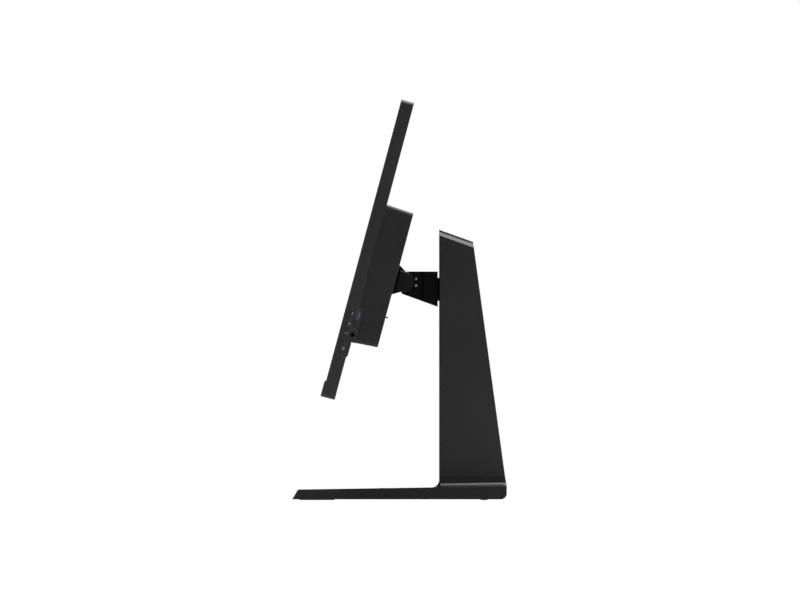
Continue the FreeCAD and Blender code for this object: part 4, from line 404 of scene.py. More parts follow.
def mouldedPlastic(name, look):
    # satin black plastic: pitted by its mould, a little glossier at handled edges and lighter there, partly
    # from wear and partly as a painted highlight, dusty on top
    material, tree, surface = newMaterial(name, **{"Specular IOR Level": look["specular"], "IOR": 1.5})
    texture = placeGroup(tree, sparkTexture, **{"Grain Size": look["grain"]})
    wearAndHighlight = placeGroup(tree, edgeWearAndHighlight, Width=look.get("edge", 0.0006), Broken=0.5)
    dust = placeGroup(tree, settledDust, Amount=look["dust"])
    tone, height = texture.outputs["Tone"], texture.outputs["Height"]
    base = blendColours(tree, ramp(tree, tone, 0.3, 0.7), grey(look["dark"]), grey(look["light"]))
    pits = swellTone(tree, height, base, 0.75, look["light"] * 1.4)
    # the lighter edge colour is partly handling wear and partly a painted highlight on edges that catch the
    # light
    rubbedAndHighlit = math2(tree, "MULTIPLY", wearAndHighlight.outputs["Mask"], look["wearAndHighlight"])
    wornAndHighlit = blendColours(tree, rubbedAndHighlit, pits, grey(look["wornAndHighlit"]))
    dusty = blendColours(tree, dust.outputs["Mask"], wornAndHighlit, grey(0.16, 0.04))
    tree.links.new(dusty, surface.inputs["Base Color"])
    rough = ramp(tree, tone, 0.25, 0.75, look["rough"] - look["spread"], look["rough"] + look["spread"])
    polished = math2(tree, "SUBTRACT", rough, math2(tree, "MULTIPLY", wearAndHighlight.outputs["Mask"], 0.12))
    rougher = math2(tree, "ADD", polished, math2(tree, "MULTIPLY", dust.outputs["Mask"], 0.3), True)
    tree.links.new(rougher, surface.inputs["Roughness"])
    addBump(tree, surface, height, look["depth"])
    return material


def sprayedMetal(name, look):
    # painted casting or sheet: orange peel, bare metal glinting through at worn edges, a little dust
    material, tree, surface = newMaterial(name, **{"Specular IOR Level": look["specular"], "IOR": 1.5})
    peel = placeGroup(tree, sprayPeel, **{"Swell Size": look["swell"]})
    wearAndHighlight = placeGroup(tree, edgeWearAndHighlight, Width=look.get("edge", 0.0007), Broken=0.8)
    dust = placeGroup(tree, settledDust, Amount=look["dust"])
    tone, height = peel.outputs["Tone"], peel.outputs["Height"]
    base = blendColours(tree, ramp(tree, tone, 0.3, 0.7), grey(look["dark"]), grey(look["light"]))
    swell = swellTone(tree, height, base, 0.7, look["light"] * 1.3)
    rubbedAndHighlit = math2(tree, "MULTIPLY", wearAndHighlight.outputs["Mask"], look["wearAndHighlight"])
    wornAndHighlit = blendColours(tree, rubbedAndHighlit, swell, grey(0.11))
    dusty = blendColours(tree, dust.outputs["Mask"], wornAndHighlit, grey(0.17, 0.04))
    tree.links.new(dusty, surface.inputs["Base Color"])
    rough = ramp(tree, tone, 0.25, 0.75, look["rough"] - look["spread"], look["rough"] + look["spread"])
    rougher = math2(tree, "ADD", rough, math2(tree, "MULTIPLY", dust.outputs["Mask"], 0.3), True)
    tree.links.new(rougher, surface.inputs["Roughness"])
    addBump(tree, surface, height, look["depth"])
    return material


def bareMetal(name, look):
    # rolled, drawn or plated metal: fine lines, a cloudy roughness and a slight change of colour
    material, tree, surface = newMaterial(name, **{"Metallic": 1.0})
    lines = placeGroup(tree, rolledLines, **{"Line Width": look["line"]})
    cloud, height = lines.outputs["Cloud"], lines.outputs["Height"]
    base = blendColours(tree, ramp(tree, cloud, 0.3, 0.7), look["colour"], look["second"])
    tree.links.new(base, surface.inputs["Base Color"])
    clouded = ramp(tree, cloud, 0.25, 0.75, look["rough"] - look["spread"], look["rough"] + look["spread"])
    lined = math2(tree, "ADD", clouded, math2(tree, "MULTIPLY", height, look["spread"]), True)
    tree.links.new(lined, surface.inputs["Roughness"])
    addBump(tree, surface, height, look["depth"])
    return material


def mouldedRubber(name, look):
    # dull rubber with a fine skin and pale bloom in patches
    material, tree, surface = newMaterial(name, **{"Specular IOR Level": 0.3, "Sheen Weight": 0.15})
    texture = placeGroup(tree, sparkTexture, **{"Grain Size": look["grain"]})
    bloom = ramp(tree, noise(tree, objectPlace(tree), 45.0, 4.0, 0.65), 0.45, 0.75)
    base = blendColours(tree, math2(tree, "MULTIPLY", bloom, 0.5), grey(look["dark"]), grey(look["light"]))
    dust = placeGroup(tree, settledDust, Amount=look["dust"])
    dusty = blendColours(tree, dust.outputs["Mask"], base, grey(0.15, 0.05))
    tree.links.new(dusty, surface.inputs["Base Color"])
    rough = ramp(tree, texture.outputs["Tone"], 0.3, 0.7, look["rough"] - 0.06, look["rough"] + 0.06)
    tree.links.new(rough, surface.inputs["Roughness"])
    addBump(tree, surface, texture.outputs["Height"], look["depth"])
    return material


def glossyPlastic(name, look):
    # smooth moulded plastic with faint swirls in its gloss
    material, tree, surface = newMaterial(name, **{"IOR": 1.5, "Coat Weight": look.get("coat", 0.0)})
    place = objectPlace(tree)
    swirl = noise(tree, place, 120.0, 4.0, 0.6)
    fine = noise(tree, place, 2600.0, 2.0, 0.5)
    base = blendColours(tree, ramp(tree, swirl, 0.3, 0.7), look["colour"], look["second"])
    tree.links.new(base, surface.inputs["Base Color"])
    rough = ramp(tree, swirl, 0.25, 0.75, look["rough"] * 0.8, look["rough"] * 1.3)
    tree.links.new(rough, surface.inputs["Roughness"])
    addBump(tree, surface, fine, look.get("depth", 1e-6))
    return material


plasticLook = {"dark": 0.0148, "light": 0.0198, "rough": 0.48, "spread": 0.05, "specular": 0.36,
               "grain": 0.00032, "depth": 0.000014, "wearAndHighlight": 0.4, "wornAndHighlit": 0.038, "dust": 0.10}
caseMaterial = mouldedPlastic("case_plastic", plasticLook)
columnMaterial = mouldedPlastic("column_plastic", {
    **plasticLook, "dark": 0.0122, "light": 0.0165, "rough": 0.4, "grain": 0.00026, "specular": 0.34})
housingMaterial = mouldedPlastic("housing_plastic", {
    **plasticLook, "dark": 0.0115, "light": 0.0155, "grain": 0.00045, "depth": 0.00002, "specular": 0.3})
# the cap and the arm covers get a brighter edge colour and a wider edge: a painted highlight on their lit
# rims, over a little real wear
capMaterial = mouldedPlastic("cap_plastic", {
    **plasticLook, "rough": 0.34, "dark": 0.0062, "light": 0.009, "grain": 0.0002, "dust": 0.04,
    "specular": 0.2, "wearAndHighlight": 0.8, "wornAndHighlit": 0.05, "edge": 0.0011})
darkMaterial = mouldedPlastic("dark_plastic", {
    **plasticLook, "dark": 0.0035, "light": 0.006, "rough": 0.44, "dust": 0.03, "specular": 0.2})
coverMaterial = mouldedPlastic("cover_plastic", {
    **plasticLook, "dark": 0.0028, "light": 0.0045, "rough": 0.42, "dust": 0.03, "specular": 0.1,
    "wearAndHighlight": 0.7, "wornAndHighlit": 0.06, "edge": 0.0009})
paintLook = {"dark": 0.0022, "light": 0.0032, "rough": 0.25, "spread": 0.03, "specular": 0.3,
             "swell": 0.0011, "depth": 0.000012, "wearAndHighlight": 0.12, "dust": 0.10}
baseMaterial = sprayedMetal("base_paint", paintLook)
armMaterial = sprayedMetal("arm_paint", {
    **paintLook, "dark": 0.0026, "light": 0.0042, "rough": 0.46, "specular": 0.12, "dust": 0.03, "wearAndHighlight": 0.1})
plateMaterial = sprayedMetal("plate_paint", {
    **paintLook, "dark": 0.008, "light": 0.011, "rough": 0.38, "swell": 0.0008})
enamelMaterial = sprayedMetal("spring_enamel", {**paintLook, "rough": 0.2, "spread": 0.04, "dust": 0.02})
metalLooks = {
    "screw_oxide": (grey(0.05), grey(0.09), 0.34, 0.1, 0.0003, 3e-6),
    "dark_nickel": (grey(0.18), grey(0.24), 0.30, 0.08, 0.0004, 2e-6),
    "zinc_steel": ((0.52, 0.53, 0.54, 1), (0.62, 0.61, 0.58, 1), 0.34, 0.1, 0.0005, 4e-6),
    "bright_steel": ((0.5, 0.5, 0.5, 1), (0.6, 0.6, 0.59, 1), 0.2, 0.06, 0.0002, 1e-6),
    "aluminium": ((0.66, 0.67, 0.68, 1), (0.74, 0.74, 0.74, 1), 0.3, 0.08, 0.0004, 3e-6),
    "copper": ((0.68, 0.33, 0.2, 1), (0.52, 0.24, 0.15, 1), 0.27, 0.1, 0.0006, 3e-6),
    "contact_gold": ((0.83, 0.62, 0.28, 1), (0.78, 0.56, 0.22, 1), 0.2, 0.05, 0.0002, 1e-6),
}
metals = {}
for name, (colour, second, rough, spread, line, depth) in metalLooks.items():
    look = {"colour": colour, "second": second, "rough": rough, "spread": spread, "line": line, "depth": depth}
    metals[name] = bareMetal(name, look)
rubberMaterial = mouldedRubber("rubber", {
    "dark": 0.007, "light": 0.013, "rough": 0.75, "grain": 0.0004, "depth": 0.00004, "dust": 0.10})
foamMaterial = mouldedRubber("foam_strip", {
    "dark": 0.003, "light": 0.005, "rough": 0.9, "grain": 0.0006, "depth": 0.0001, "dust": 0.0})
usbMaterial = glossyPlastic("usb_blue", {
    "colour": (0.014, 0.40, 0.78, 1), "second": (0.011, 0.34, 0.70, 1), "rough": 0.32})
buttonMaterial = glossyPlastic("button_plastic", {
    "colour": grey(0.03), "second": grey(0.045), "rough": 0.25, "coat": 0.3})
guideMaterial = glossyPlastic("light_guide", {
    "colour": (0.75, 0.78, 0.8, 1), "second": (0.68, 0.71, 0.73, 1), "rough": 0.15})
chipMaterial = glossyPlastic("chip_package", {
    "colour": grey(0.016), "second": grey(0.022), "rough": 0.5, "depth": 6e-6})
lensMaterial = glossyPlastic("lens_coating", {
    "colour": (0.004, 0.003, 0.012, 1), "second": (0.006, 0.004, 0.018, 1), "rough": 0.05, "coat": 1.0})
insertMaterial = glossyPlastic("port_insert", {
    "colour": grey(0.006), "second": grey(0.01), "rough": 0.4})


def screenGlass():
    # anti glare cover glass: clear and colourless, its etched face blurring reflections, with wiping marks
    material, tree, surface = newMaterial("screen_glass", **{
        "Base Color": (0.93, 0.95, 0.95, 1), "Transmission Weight": 1.0, "IOR": 1.38, "Metallic": 0.0})
    place = objectPlace(tree)
    wiped = noise(tree, stretched(tree, place, (0.35, 1.0, 1.0)), 18.0, 5.0, 0.6)
    etched = noise(tree, place, 5200.0, 2.0, 0.5)
    tree.links.new(ramp(tree, wiped, 0.3, 0.75, 0.07, 0.11), surface.inputs["Roughness"])
    addBump(tree, surface, etched, 3e-7)
    return material


panelLook = {"border": 2.0 * mm, "borderTone": 0.0025, "polariser": (0.0028, 0.003, 0.0038, 1),
             "second": (0.0036, 0.004, 0.005, 1)}


def panelFace():
    # the switched off panel behind the glass: a black printed border, then the slightly blue polariser, whose
    # tone drifts a little
    material, tree, surface = newMaterial("panel_face", **{"Roughness": 0.3, "Specular IOR Level": 0.15})
    low, high = uprightBox("lcd_cell")
    place = objectPlace(tree)
    upright = shader(tree, "Mapping", {"Location": tuple(-hingePoint)}, vector_type="POINT")
    tree.links.new(place, upright.inputs["Vector"])
    turn = shader(tree, "VectorRotate", {"Angle": lean, "Axis": (1, 0, 0)}, rotation_type="AXIS_ANGLE")
    tree.links.new(upright.outputs["Vector"], turn.inputs["Vector"])
    split = shader(tree, "SeparateXYZ")
    tree.links.new(turn.outputs["Vector"], split.inputs[0])
    wideHalf = (high[0] - low[0]) / 2 - panelLook["border"]
    middle, tallHalf = (high[2] + low[2]) / 2, (high[2] - low[2]) / 2 - panelLook["border"]
    sideways = math2(tree, "ABSOLUTE", split.outputs["X"])
    upwards = math2(tree, "ABSOLUTE", math2(tree, "SUBTRACT", split.outputs["Z"], middle))
    insideX = math2(tree, "LESS_THAN", sideways, wideHalf)
    inside = math2(tree, "MULTIPLY", insideX, math2(tree, "LESS_THAN", upwards, tallHalf))
    drift = noise(tree, place, 9.0, 2.0, 0.5)
    lit = blendColours(tree, ramp(tree, drift, 0.3, 0.7), panelLook["polariser"], panelLook["second"])
    face = blendColours(tree, inside, grey(panelLook["borderTone"]), lit)
    tree.links.new(face, surface.inputs["Base Color"])
    tree.links.new(ramp(tree, inside, 0, 1, 0.45, 0.22), surface.inputs["Roughness"])
    return material


def circuitBoard():
    # solder mask over copper traces: the edges of one cell pattern, with gold pads at the middles of another
    material, tree, surface = newMaterial("circuit_board", **{"Specular IOR Level": 0.5, "Coat Weight": 0.2})
    place = objectPlace(tree)
    tracks = shader(tree, "TexVoronoi", {"Scale": 210.0, "Randomness": 0.72},
                    feature="DISTANCE_TO_EDGE")
    tree.links.new(stretched(tree, place, (1.0, 1.0, 0.45)), tracks.inputs["Vector"])
    trace = ramp(tree, tracks.outputs["Distance"], 0.06, 0.1)
    pads = shader(tree, "TexVoronoi", {"Scale": 330.0}, feature="F1")
    tree.links.new(place, pads.inputs["Vector"])
    pad = ramp(tree, pads.outputs["Distance"], 0.2, 0.16)
    mask = blendColours(tree, trace, (0.008, 0.05, 0.028, 1), (0.004, 0.026, 0.016, 1))
    tree.links.new(blendColours(tree, pad, mask, (0.5, 0.38, 0.16, 1)), surface.inputs["Base Color"])
    tree.links.new(pad, surface.inputs["Metallic"])
    tree.links.new(ramp(tree, noise(tree, place, 400.0), 0.3, 0.7, 0.28, 0.4), surface.inputs["Roughness"])
    addBump(tree, surface, trace, 0.00003)
    return material


def printedInk():
    # pale screen printed ink for the port symbols
    material, tree, surface = newMaterial("printed_ink", **{"Roughness": 0.6})
    thin = noise(tree, objectPlace(tree), 2500.0, 3.0, 0.6)
    ink = blendColours(tree, ramp(tree, thin, 0.3, 0.6), grey(0.3), grey(0.42))
    tree.links.new(ink, surface.inputs["Base Color"])
    addBump(tree, surface, thin, 2e-6)
    return material


glassMaterial = screenGlass()
panelMaterial = panelFace()
boardMaterial = circuitBoard()
inkMaterial = printedInk()

finishes = {
    baseMaterial: ["base_casting"],
    rubberMaterial: ["base_mat", "front_feet", "rear_feet"],
    columnMaterial: ["column_shell", "column_rear_cover", "column_cap"],
    caseMaterial: ["rear_cover", "front_frame", "chin_cover", "side_port_plate", "service_door"],
    housingMaterial: ["rear_housing"],
    capMaterial: ["hinge_caps"],
    coverMaterial: ["arm_side_covers", "release_latch"],
    darkMaterial: ["speakers", "blower_case", "blower_wheel", "webcam_module", "camera_shutter",
                   "headset_jack", "plug_blades", "drive_caddy", "glide_bushes"],
    armMaterial: ["arm_nose", "hinge_cheeks", "lift_carriage"],
    plateMaterial: ["mount_plate"],
    buttonMaterial: ["power_button"],
    glassMaterial: ["front_glass"],
    panelMaterial: ["lcd_cell"],
    guideMaterial: ["light_guide"],
    metals["zinc_steel"]: ["backlight_tray", "chassis_plate", "base_weight", "mount_standoffs",
                           "friction_washers", "port_bracket", "rear_port_shells"],
    metals["dark_nickel"]: ["side_usb_shell", "side_usb_c"],
    metals["bright_steel"]: ["guide_rails", "hinge_pin", "gas_spring_rod", "arm_screws"],
    metals["screw_oxide"]: ["display_screws", "base_screws"],
    enamelMaterial: ["gas_spring_tube"],
    metals["aluminium"]: ["heat_spreader", "fin_stack", "disk_drive"],
    metals["copper"]: ["heat_pipes"],
    boardMaterial: ["main_board", "side_io_board", "memory_modules", "solid_state_drive", "power_switch"],
    chipMaterial: ["processor"],
    usbMaterial: ["usb_tongues"],
}
for material, names in finishes.items():
    for name in names:
        slots = nodes[name].data.materials
        slots.clear()
        slots.append(material)
print("finishes:", len(finishes), "materials on", sum(len(names) for names in finishes.values()), "nodes")

# Screws with a cross recess, at the places and of the sizes of the frame's screws.
screwLook = {"crossLong": 0.56, "crossHalf": 0.13, "crossDeep": 0.5, "pitch": 0.0007, "around": 48,
             "displayHead": 1.5 * mm, "baseHead": 3.0 * mm, "armHead": 0.9 * mm}


def crossScrew(headRadius, headTall, shankRadius, shankLong):
    # rings about z with the head's face at z = 0; the recess has two bars of half length L and half width w,
    # so its edge lies at r = max(min(L/|cos a|, w/|sin a|), min(L/|sin a|, w/|cos a|)); the thread is a saw
    angle = np.linspace(0, 2 * np.pi, screwLook["around"], endpoint=False)
    half, narrow = headRadius * screwLook["crossLong"], headRadius * screwLook["crossHalf"]
    along, beside = np.maximum(np.abs([np.cos(angle), np.sin(angle)]), 1e-6)
    cross = np.maximum(np.minimum(half / along, narrow / beside), np.minimum(half / beside, narrow / along))
    circle = np.ones_like(angle)
    deep = headTall * screwLook["crossDeep"]
    rings = [(cross * 0.02, -deep), (cross * 0.72, -deep), (cross, 0.0)]
    rings += [(circle * headRadius * share, 0.0) for share in (0.66, 0.8)]
    bend = np.linspace(0, np.pi / 2, 4)
    edge = min(headRadius * 0.2, headTall * 0.4)
    rings += [(circle * (headRadius - edge + edge * math.sin(a)), -edge + edge * math.cos(a)) for a in bend]
    rings += [(circle * headRadius, -headTall), (circle * shankRadius, -headTall)]
    turns = max(int(shankLong / screwLook["pitch"]), 1)
    steps = np.arange(2 * turns + 1)
    saw = shankRadius * np.where(steps % 2 == 0, 1.0, 0.8)
    rings += [(circle * radius, -headTall - shankLong * step / (2 * turns))
              for radius, step in zip(saw, steps)]
    rings.append((circle * 0.02 * shankRadius, -headTall - shankLong))
    layers = [np.stack([radius * np.cos(angle), radius * np.sin(angle), np.full_like(angle, z)], -1)
              for radius, z in rings]
    return gridShape(np.stack(layers), wrapColumns=True)


def replaceScrews(node, boxes, axis, outward, body, material, carry, headTall, shankShare):
    # boxes: the low and high corner of each screw; outward: +1 or -1 along the axis for each screw's face
    shapes = []
    others = [i for i in range(3) if i != axis]
    for (low, high), sign in zip(boxes, outward):
        middle = (low + high) / 2
        middle[axis] = high[axis] if sign > 0 else low[axis]
        radius = (high[others[0]] - low[others[0]]) / 2
        long = high[axis] - low[axis]
        tall = min(headTall, long)
        axes = np.zeros((3, 3))
        axes[2, axis] = sign
        axes[0, others[0]] = 1
        axes[1] = np.cross(axes[2], axes[0])
        shape = crossScrew(radius, tall, radius * shankShare, max(long - tall, radius * 0.02))
        points, quads = turned(shape, middle, *axes)
        shapes.append((carry(points), quads))
    piece = makePiece(node + "_fine", stacked(shapes), body, material, 30)
    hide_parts(node)
    return piece


displayBoxes = clusters(uprightPoints("display_screws"), (0, 2), 4 * mm)
replaceScrews("display_screws", displayBoxes, 1, [1] * len(displayBoxes), "display",
              metals["screw_oxide"], leaned, screwLook["displayHead"], 0.5)
baseBoxes = clusters(meshPoints("base_screws"), (0, 1), 8 * mm)
replaceScrews("base_screws", baseBoxes, 2, [-1] * len(baseBoxes), "stand",
              metals["screw_oxide"], np.asarray, screwLook["baseHead"], 0.52)
armBoxes = clusters(meshPoints("arm_screws"), (0, 2), 4 * mm)
armSides = [1 if low[0] > 0 else -1 for low, high in armBoxes]
replaceScrews("arm_screws", armBoxes, 0, armSides, "lift_arm",
              metals["bright_steel"], np.asarray, screwLook["armHead"], 0.5)
print("screws:", len(displayBoxes) + len(baseBoxes) + len(armBoxes))

# The foam that closes the seams between the display's front and its rear cover.
seamLook = {"inset": 0.35 * mm, "deep": 1.3 * mm, "bite": 0.02 * mm, "corner": 4.0 * mm, "setBack": 0.65 * mm}


def makeSeamFoam():
    # a flat loop that follows the display's outline in the seam, and a strip across the seam over the chin
    frameLow, frameHigh = uprightBox("front_frame")
    chinTop = uprightBox("chin_cover")[1][2]
    coverLow = uprightBox("rear_cover")[0]
    wide = frameHigh[0] - frameLow[0] - 2 * seamLook["inset"]
    tall = frameHigh[2] - coverLow[2] - 2 * seamLook["inset"]
    middleZ = (frameHigh[2] + coverLow[2]) / 2
    nearY, farY = frameHigh[1] - seamLook["bite"], coverLow[1] + seamLook["bite"]
    loops = []
    for inset, y in ((0.0, nearY), (0.0, farY), (seamLook["deep"], farY), (seamLook["deep"], nearY)):
        corner = seamLook["corner"] - inset * 0.9
        outline = roundedOutline(wide - 2 * inset, tall - 2 * inset, corner, 7)
        loops.append(np.column_stack([outline[:, 0], np.full(len(outline), y), outline[:, 1] + middleZ]))
    loop = gridShape(np.stack(loops), True, True)
    stripZ = (chinTop - seamLook["bite"], frameLow[2] + seamLook["bite"])
    stripY = (frameLow[1] + seamLook["setBack"], frameHigh[1])
    ring = [(stripY[i], stripZ[j]) for i, j in ((0, 0), (1, 0), (1, 1), (0, 1))]
    middle = [(sum(stripY) / 2, sum(stripZ) / 2)] * 4
    columns = [(-wide / 2, middle), (-wide / 2, ring), (wide / 2, ring), (wide / 2, middle)]
    strip = gridShape(np.array([[(x, y, z) for y, z in section] for x, section in columns]), wrapColumns=True)
    points, quads = stacked([loop, strip])
    makePiece("seam_foam", (leaned(points), quads), "display", foamMaterial)


makeSeamFoam()

# The ribbed rubber mat in the base's tray.
matLook = {"ribPitch": 2.4 * mm, "ribDeep": 0.4 * mm, "rim": 2.0 * mm, "edge": 0.35 * mm, "rows": 420}


def makeMat():
    # the mat's top at each depth y is z = top - d sin^2(pi (y - y0) / pitch) inside a plain rim
    points = meshPoints("base_mat")
    low, high = points.min(0), points.max(0)
    y = np.linspace(low[1], high[1], matLook["rows"])
    fromEdge = np.minimum(y - low[1], high[1] - y)
    inner = np.clip((fromEdge - matLook["rim"]) / matLook["rim"], 0, 1)
    rib = matLook["ribDeep"] * np.sin(np.pi * (y - low[1]) / matLook["ribPitch"]) ** 2 * inner
    fall = matLook["edge"] * np.clip(1 - fromEdge / matLook["edge"], 0, 1) ** 2
    top = high[2] - rib - fall
    plain = high[2] - fall
    rim, edge = matLook["rim"], matLook["edge"]
    steps = np.array([0, 0, edge * 0.3, edge, rim, rim * 1.6])
    xs = np.concatenate([low[0] + steps, (high[0] - steps)[::-1]])
    drop = np.array([0, edge, edge * 0.3, 0, 0, 0, 0, 0, 0, edge * 0.3, edge, 0])
    height = np.repeat(plain[:, None], len(xs), 1) - drop
    height[:, 5:7] = top[:, None]
    height[:, 0] = height[:, -1] = low[2]
    across = np.repeat(xs[None], len(y), 0)
    rows = np.stack([across, np.repeat(y[:, None], len(xs), 1), height], -1)
    middle = np.array([(low[0] + high[0]) / 2, 0, (low[2] + high[2]) / 2])
    caps = [np.repeat((middle + (0, depth, 0))[None], len(xs), 0) for depth in (low[1], high[1])]
    shape = gridShape(np.concatenate([caps[:1], rows, caps[1:]]), wrapColumns=True)
    piece = makePiece("base_mat_fine", shape, "stand", rubberMaterial, 40)
    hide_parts("base_mat")


makeMat()

# The side ports: the small oblong port's shell and tongue, the spring contacts, and the printed symbols.
portLook = {"shellSheet": 0.35 * mm, "tongueHigh": 0.7 * mm, "tongueBack": 1.0 * mm, "contactWide": 0.6 * mm,
            "contactBow": 0.25 * mm, "contactThick": 0.05 * mm, "contactPlaces": (-0.66, -0.22, 0.22, 0.66)}
inkLook = {"line": 0.34 * mm, "bar": 0.3 * mm, "cup": 0.55 * mm, "thick": 0.02 * mm}


def sideAxes(centre):
    # axes whose z runs out of the display's side, x along the display's height and y to its rear
    return centre, (0, 0, 1), (0, 1, 0), (1, 0, 0)


def makeOblongPort():
    # an oblong shell of a given sheet: outer and inner outlines joined at the mouth and closed behind
    low, high = uprightBox("side_usb_c")
    wide, tall, deep = high[2] - low[2], high[1] - low[1], high[0] - low[0]
    mouth = np.array([high[0], (low[1] + high[1]) / 2, (low[2] + high[2]) / 2])
    sheet = portLook["shellSheet"]
    outer = roundedOutline(wide, tall, tall * 0.49, 9)
    inner = roundedOutline(wide - 2 * sheet, tall - 2 * sheet, tall * 0.49 - sheet, 9)
    layers = [outer * 0.01, outer, outer, (outer + inner) / 2, inner, inner, inner * 0.01]
    heights = [-deep, -deep, -sheet * 0.4, 0, -sheet * 0.4, -deep + sheet * 2, -deep + sheet * 2]
    rings = [np.column_stack([line, np.full(len(line), z)]) for line, z in zip(layers, heights)]
    shell, quads = turned(gridShape(np.stack(rings), wrapColumns=True), *sideAxes(mouth))
    piece = makePiece("oblong_port_shell", (leaned(shell), quads), "display",
                      metals["dark_nickel"], 40)
    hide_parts("side_usb_c")
    bladeOutline = roundedOutline(wide * 0.62, portLook["tongueHigh"], 0.2 * mm)
    blade = slab(bladeOutline, deep - sheet * 2 - portLook["tongueBack"], 0.15 * mm)
    start = mouth - (deep - sheet * 2, 0, 0)
    points, quads = turned(blade, *sideAxes(start))
    makePiece("oblong_port_tongue", (leaned(points), quads), "display", insertMaterial)


makeOblongPort()


def contactSpring(start, end, across, out):
    # a flat spring along a line, bowed outwards: h = thickness + bow (1 - u^2), u from -1 to 1 along it
    along = np.linspace(-1, 1, 9)
    share = (along[:, None] + 1) / 2
    lower = np.asarray(start) * (1 - share) + np.asarray(end) * share
    half = np.asarray(across, float) * portLook["contactWide"] / 2
    rise = portLook["contactThick"] + portLook["contactBow"] * (1 - along ** 2)
    lift = rise[:, None] * np.asarray(out, float)
    return gridShape(np.stack([lower + half, lower - half, lower - half + lift, lower + half + lift]),
                     wrapRows=True)


def makeContacts():
    # four springs on each wide tongue, along its depth
    shapes = []
    points = uprightPoints("usb_tongues")
    onSide = points[:, 0] > 0
    low, high = points[onSide].min(0), points[onSide].max(0)
    middle, half = (low + high) / 2, (high - low) / 2
    for place in portLook["contactPlaces"]:
        z = middle[2] + place * half[2]
        reach = half[0] * 0.84
        shapes.append(contactSpring((middle[0] - reach, low[1], z), (middle[0] + reach, low[1], z),
                                    (0, 0, 1), (0, -1, 0)))
    for low, high in clusters(points[~onSide], (0,), 14 * mm):
        middle, half = (low + high) / 2, (high - low) / 2
        for place in portLook["contactPlaces"]:
            x = middle[0] + place * half[0]
            reach = half[2] * 0.84
            shapes.append(contactSpring((x, high[1], middle[2] - reach), (x, high[1], middle[2] + reach),
                                        (1, 0, 0), (0, 1, 0)))
    points, quads = stacked(shapes)
    makePiece("port_contacts", (leaned(points), quads), "display", metals["contact_gold"], 60)


makeContacts()


def inkLine(points, closed=False, wide=None):
    # a flat printed line along (height, rearward) points in millimetres, standing an ink's thickness proud
    wide = (wide or inkLook["line"]) / 2
    path = np.column_stack([np.array(points, float) * mm, np.zeros(len(points))])
    thick = inkLook["thick"]
    section = [(-wide, -thick), (wide, -thick), (wide, thick), (-wide, thick)]
    return sweep(path, section, (0, 0, 1), closed)


def arc(radius, start, end, steps=25, middle=(0, 0)):
    angle = np.radians(np.linspace(start, end, steps))
    return np.column_stack([middle[0] + radius * np.cos(angle), middle[1] + radius * np.sin(angle)])


def makeSymbols():
    # a plug, an oblong, a pair of headphones and the power sign, each beside its port
    plug = [inkLine([(-0.2, -0.62), (-0.2, 0.62), (1.1, 0.62), (1.1, -0.62)], True),
            inkLine([(1.1, -0.36), (1.75, -0.36), (1.75, 0.36), (1.1, 0.36)]),
            inkLine([(-0.2, 0), (-0.8, 0), (-1.5, 0)])]
    oblong = [inkLine(roundedOutline(3.0, 1.35, 0.62, 7), True),
              inkLine([(-0.75, 0), (0, 0), (0.75, 0)], False, inkLook["bar"])]
    cups = [inkLine([(-0.2, side), (-0.6, side), (-1.0, side)], False, inkLook["cup"])
            for side in (1.13, -1.13)]
    phones = [inkLine(arc(1.15, -100, 100, 25)), *cups]
    power = [inkLine(arc(1.0, 40, 320, 33)), inkLine([(0.25, 0), (0.8, 0), (1.35, 0)])]
    faceX = uprightBox("side_port_plate")[1][0]
    signs = ((plug, "side_usb_shell", -6.4), (oblong, "side_usb_c", -6.9), (phones, "headset_jack", -7.2))
    shapes = []
    for pieces, port, offset in signs:
        low, high = uprightBox(port)
        centre = (faceX, (low[1] + high[1]) / 2 + offset * mm, (low[2] + high[2]) / 2)
        shapes += [turned(piece, *sideAxes(centre)) for piece in pieces]
    points, quads = stacked(shapes)
    makePiece("port_symbols", (leaned(points), quads), "display", inkMaterial, 60)
    low, high = uprightBox("power_button")
    centre = (high[0], (low[1] + high[1]) / 2, (low[2] + high[2]) / 2)
    points, quads = stacked([turned(piece, *sideAxes(centre)) for piece in power])
    makePiece("power_symbol", (leaned(points), quads), "power_button", inkMaterial, 60)


makeSymbols()
print("ports: shell, tongue, contacts, symbols")

# The camera behind the glass: a coated lens in a stepped ring.
cameraLook = {"lens": 1.05 * mm, "ring": 1.28 * mm, "dome": 0.35 * mm, "setBack": 0.78 * mm,
              "root": -0.02 * mm}


def makeCameraLens():
    # the lens is a shallow dome: z = dome (1 - (r/R)^2); the ring steps down to it
    low, high = uprightBox("webcam_module")
    centre = (0.0, low[1] + cameraLook["setBack"], (low[2] + high[2]) / 2)
    lensRadius, ringRadius, root = cameraLook["lens"], cameraLook["ring"], cameraLook["root"]
    r = np.linspace(0.001, 1, 7) * lensRadius
    cap = [(radius, cameraLook["dome"] * (1 - (radius / lensRadius) ** 2)) for radius in r]
    lens = lathe(cap + [(lensRadius, root), (1e-6, root)])
    ring = lathe([(lensRadius, root), (lensRadius * 1.01, 0.25 * mm), (ringRadius * 0.93, 0.5 * mm),
                  (ringRadius * 0.99, 0.72 * mm), (ringRadius, 0.70 * mm), (ringRadius, root)])
    made = (("camera_lens", lens, lensMaterial), ("camera_ring", ring, metals["dark_nickel"]))
    for name, shape, material in made:
        points, quads = turned(shape, centre, (1, 0, 0), (0, 0, 1), (0, -1, 0))
        makePiece(name, (leaned(points), quads), "display", material)


makeCameraLens()

# The dust screens behind the vents: a woven sheet just inside the box's wall, its open squares painted near
# black as painted shade of the box's inside.
screenLook = {"weavePitch": 0.0009, "thick": 0.15 * mm, "clear": 0.25 * mm, "wave": 0.05 * mm,
              "wall": 2.2 * mm, "fromMiddle": 182 * mm, "aboveHinge": 59.5 * mm, "wideHalf": 100 * mm, "tallHalf": 14.5 * mm}


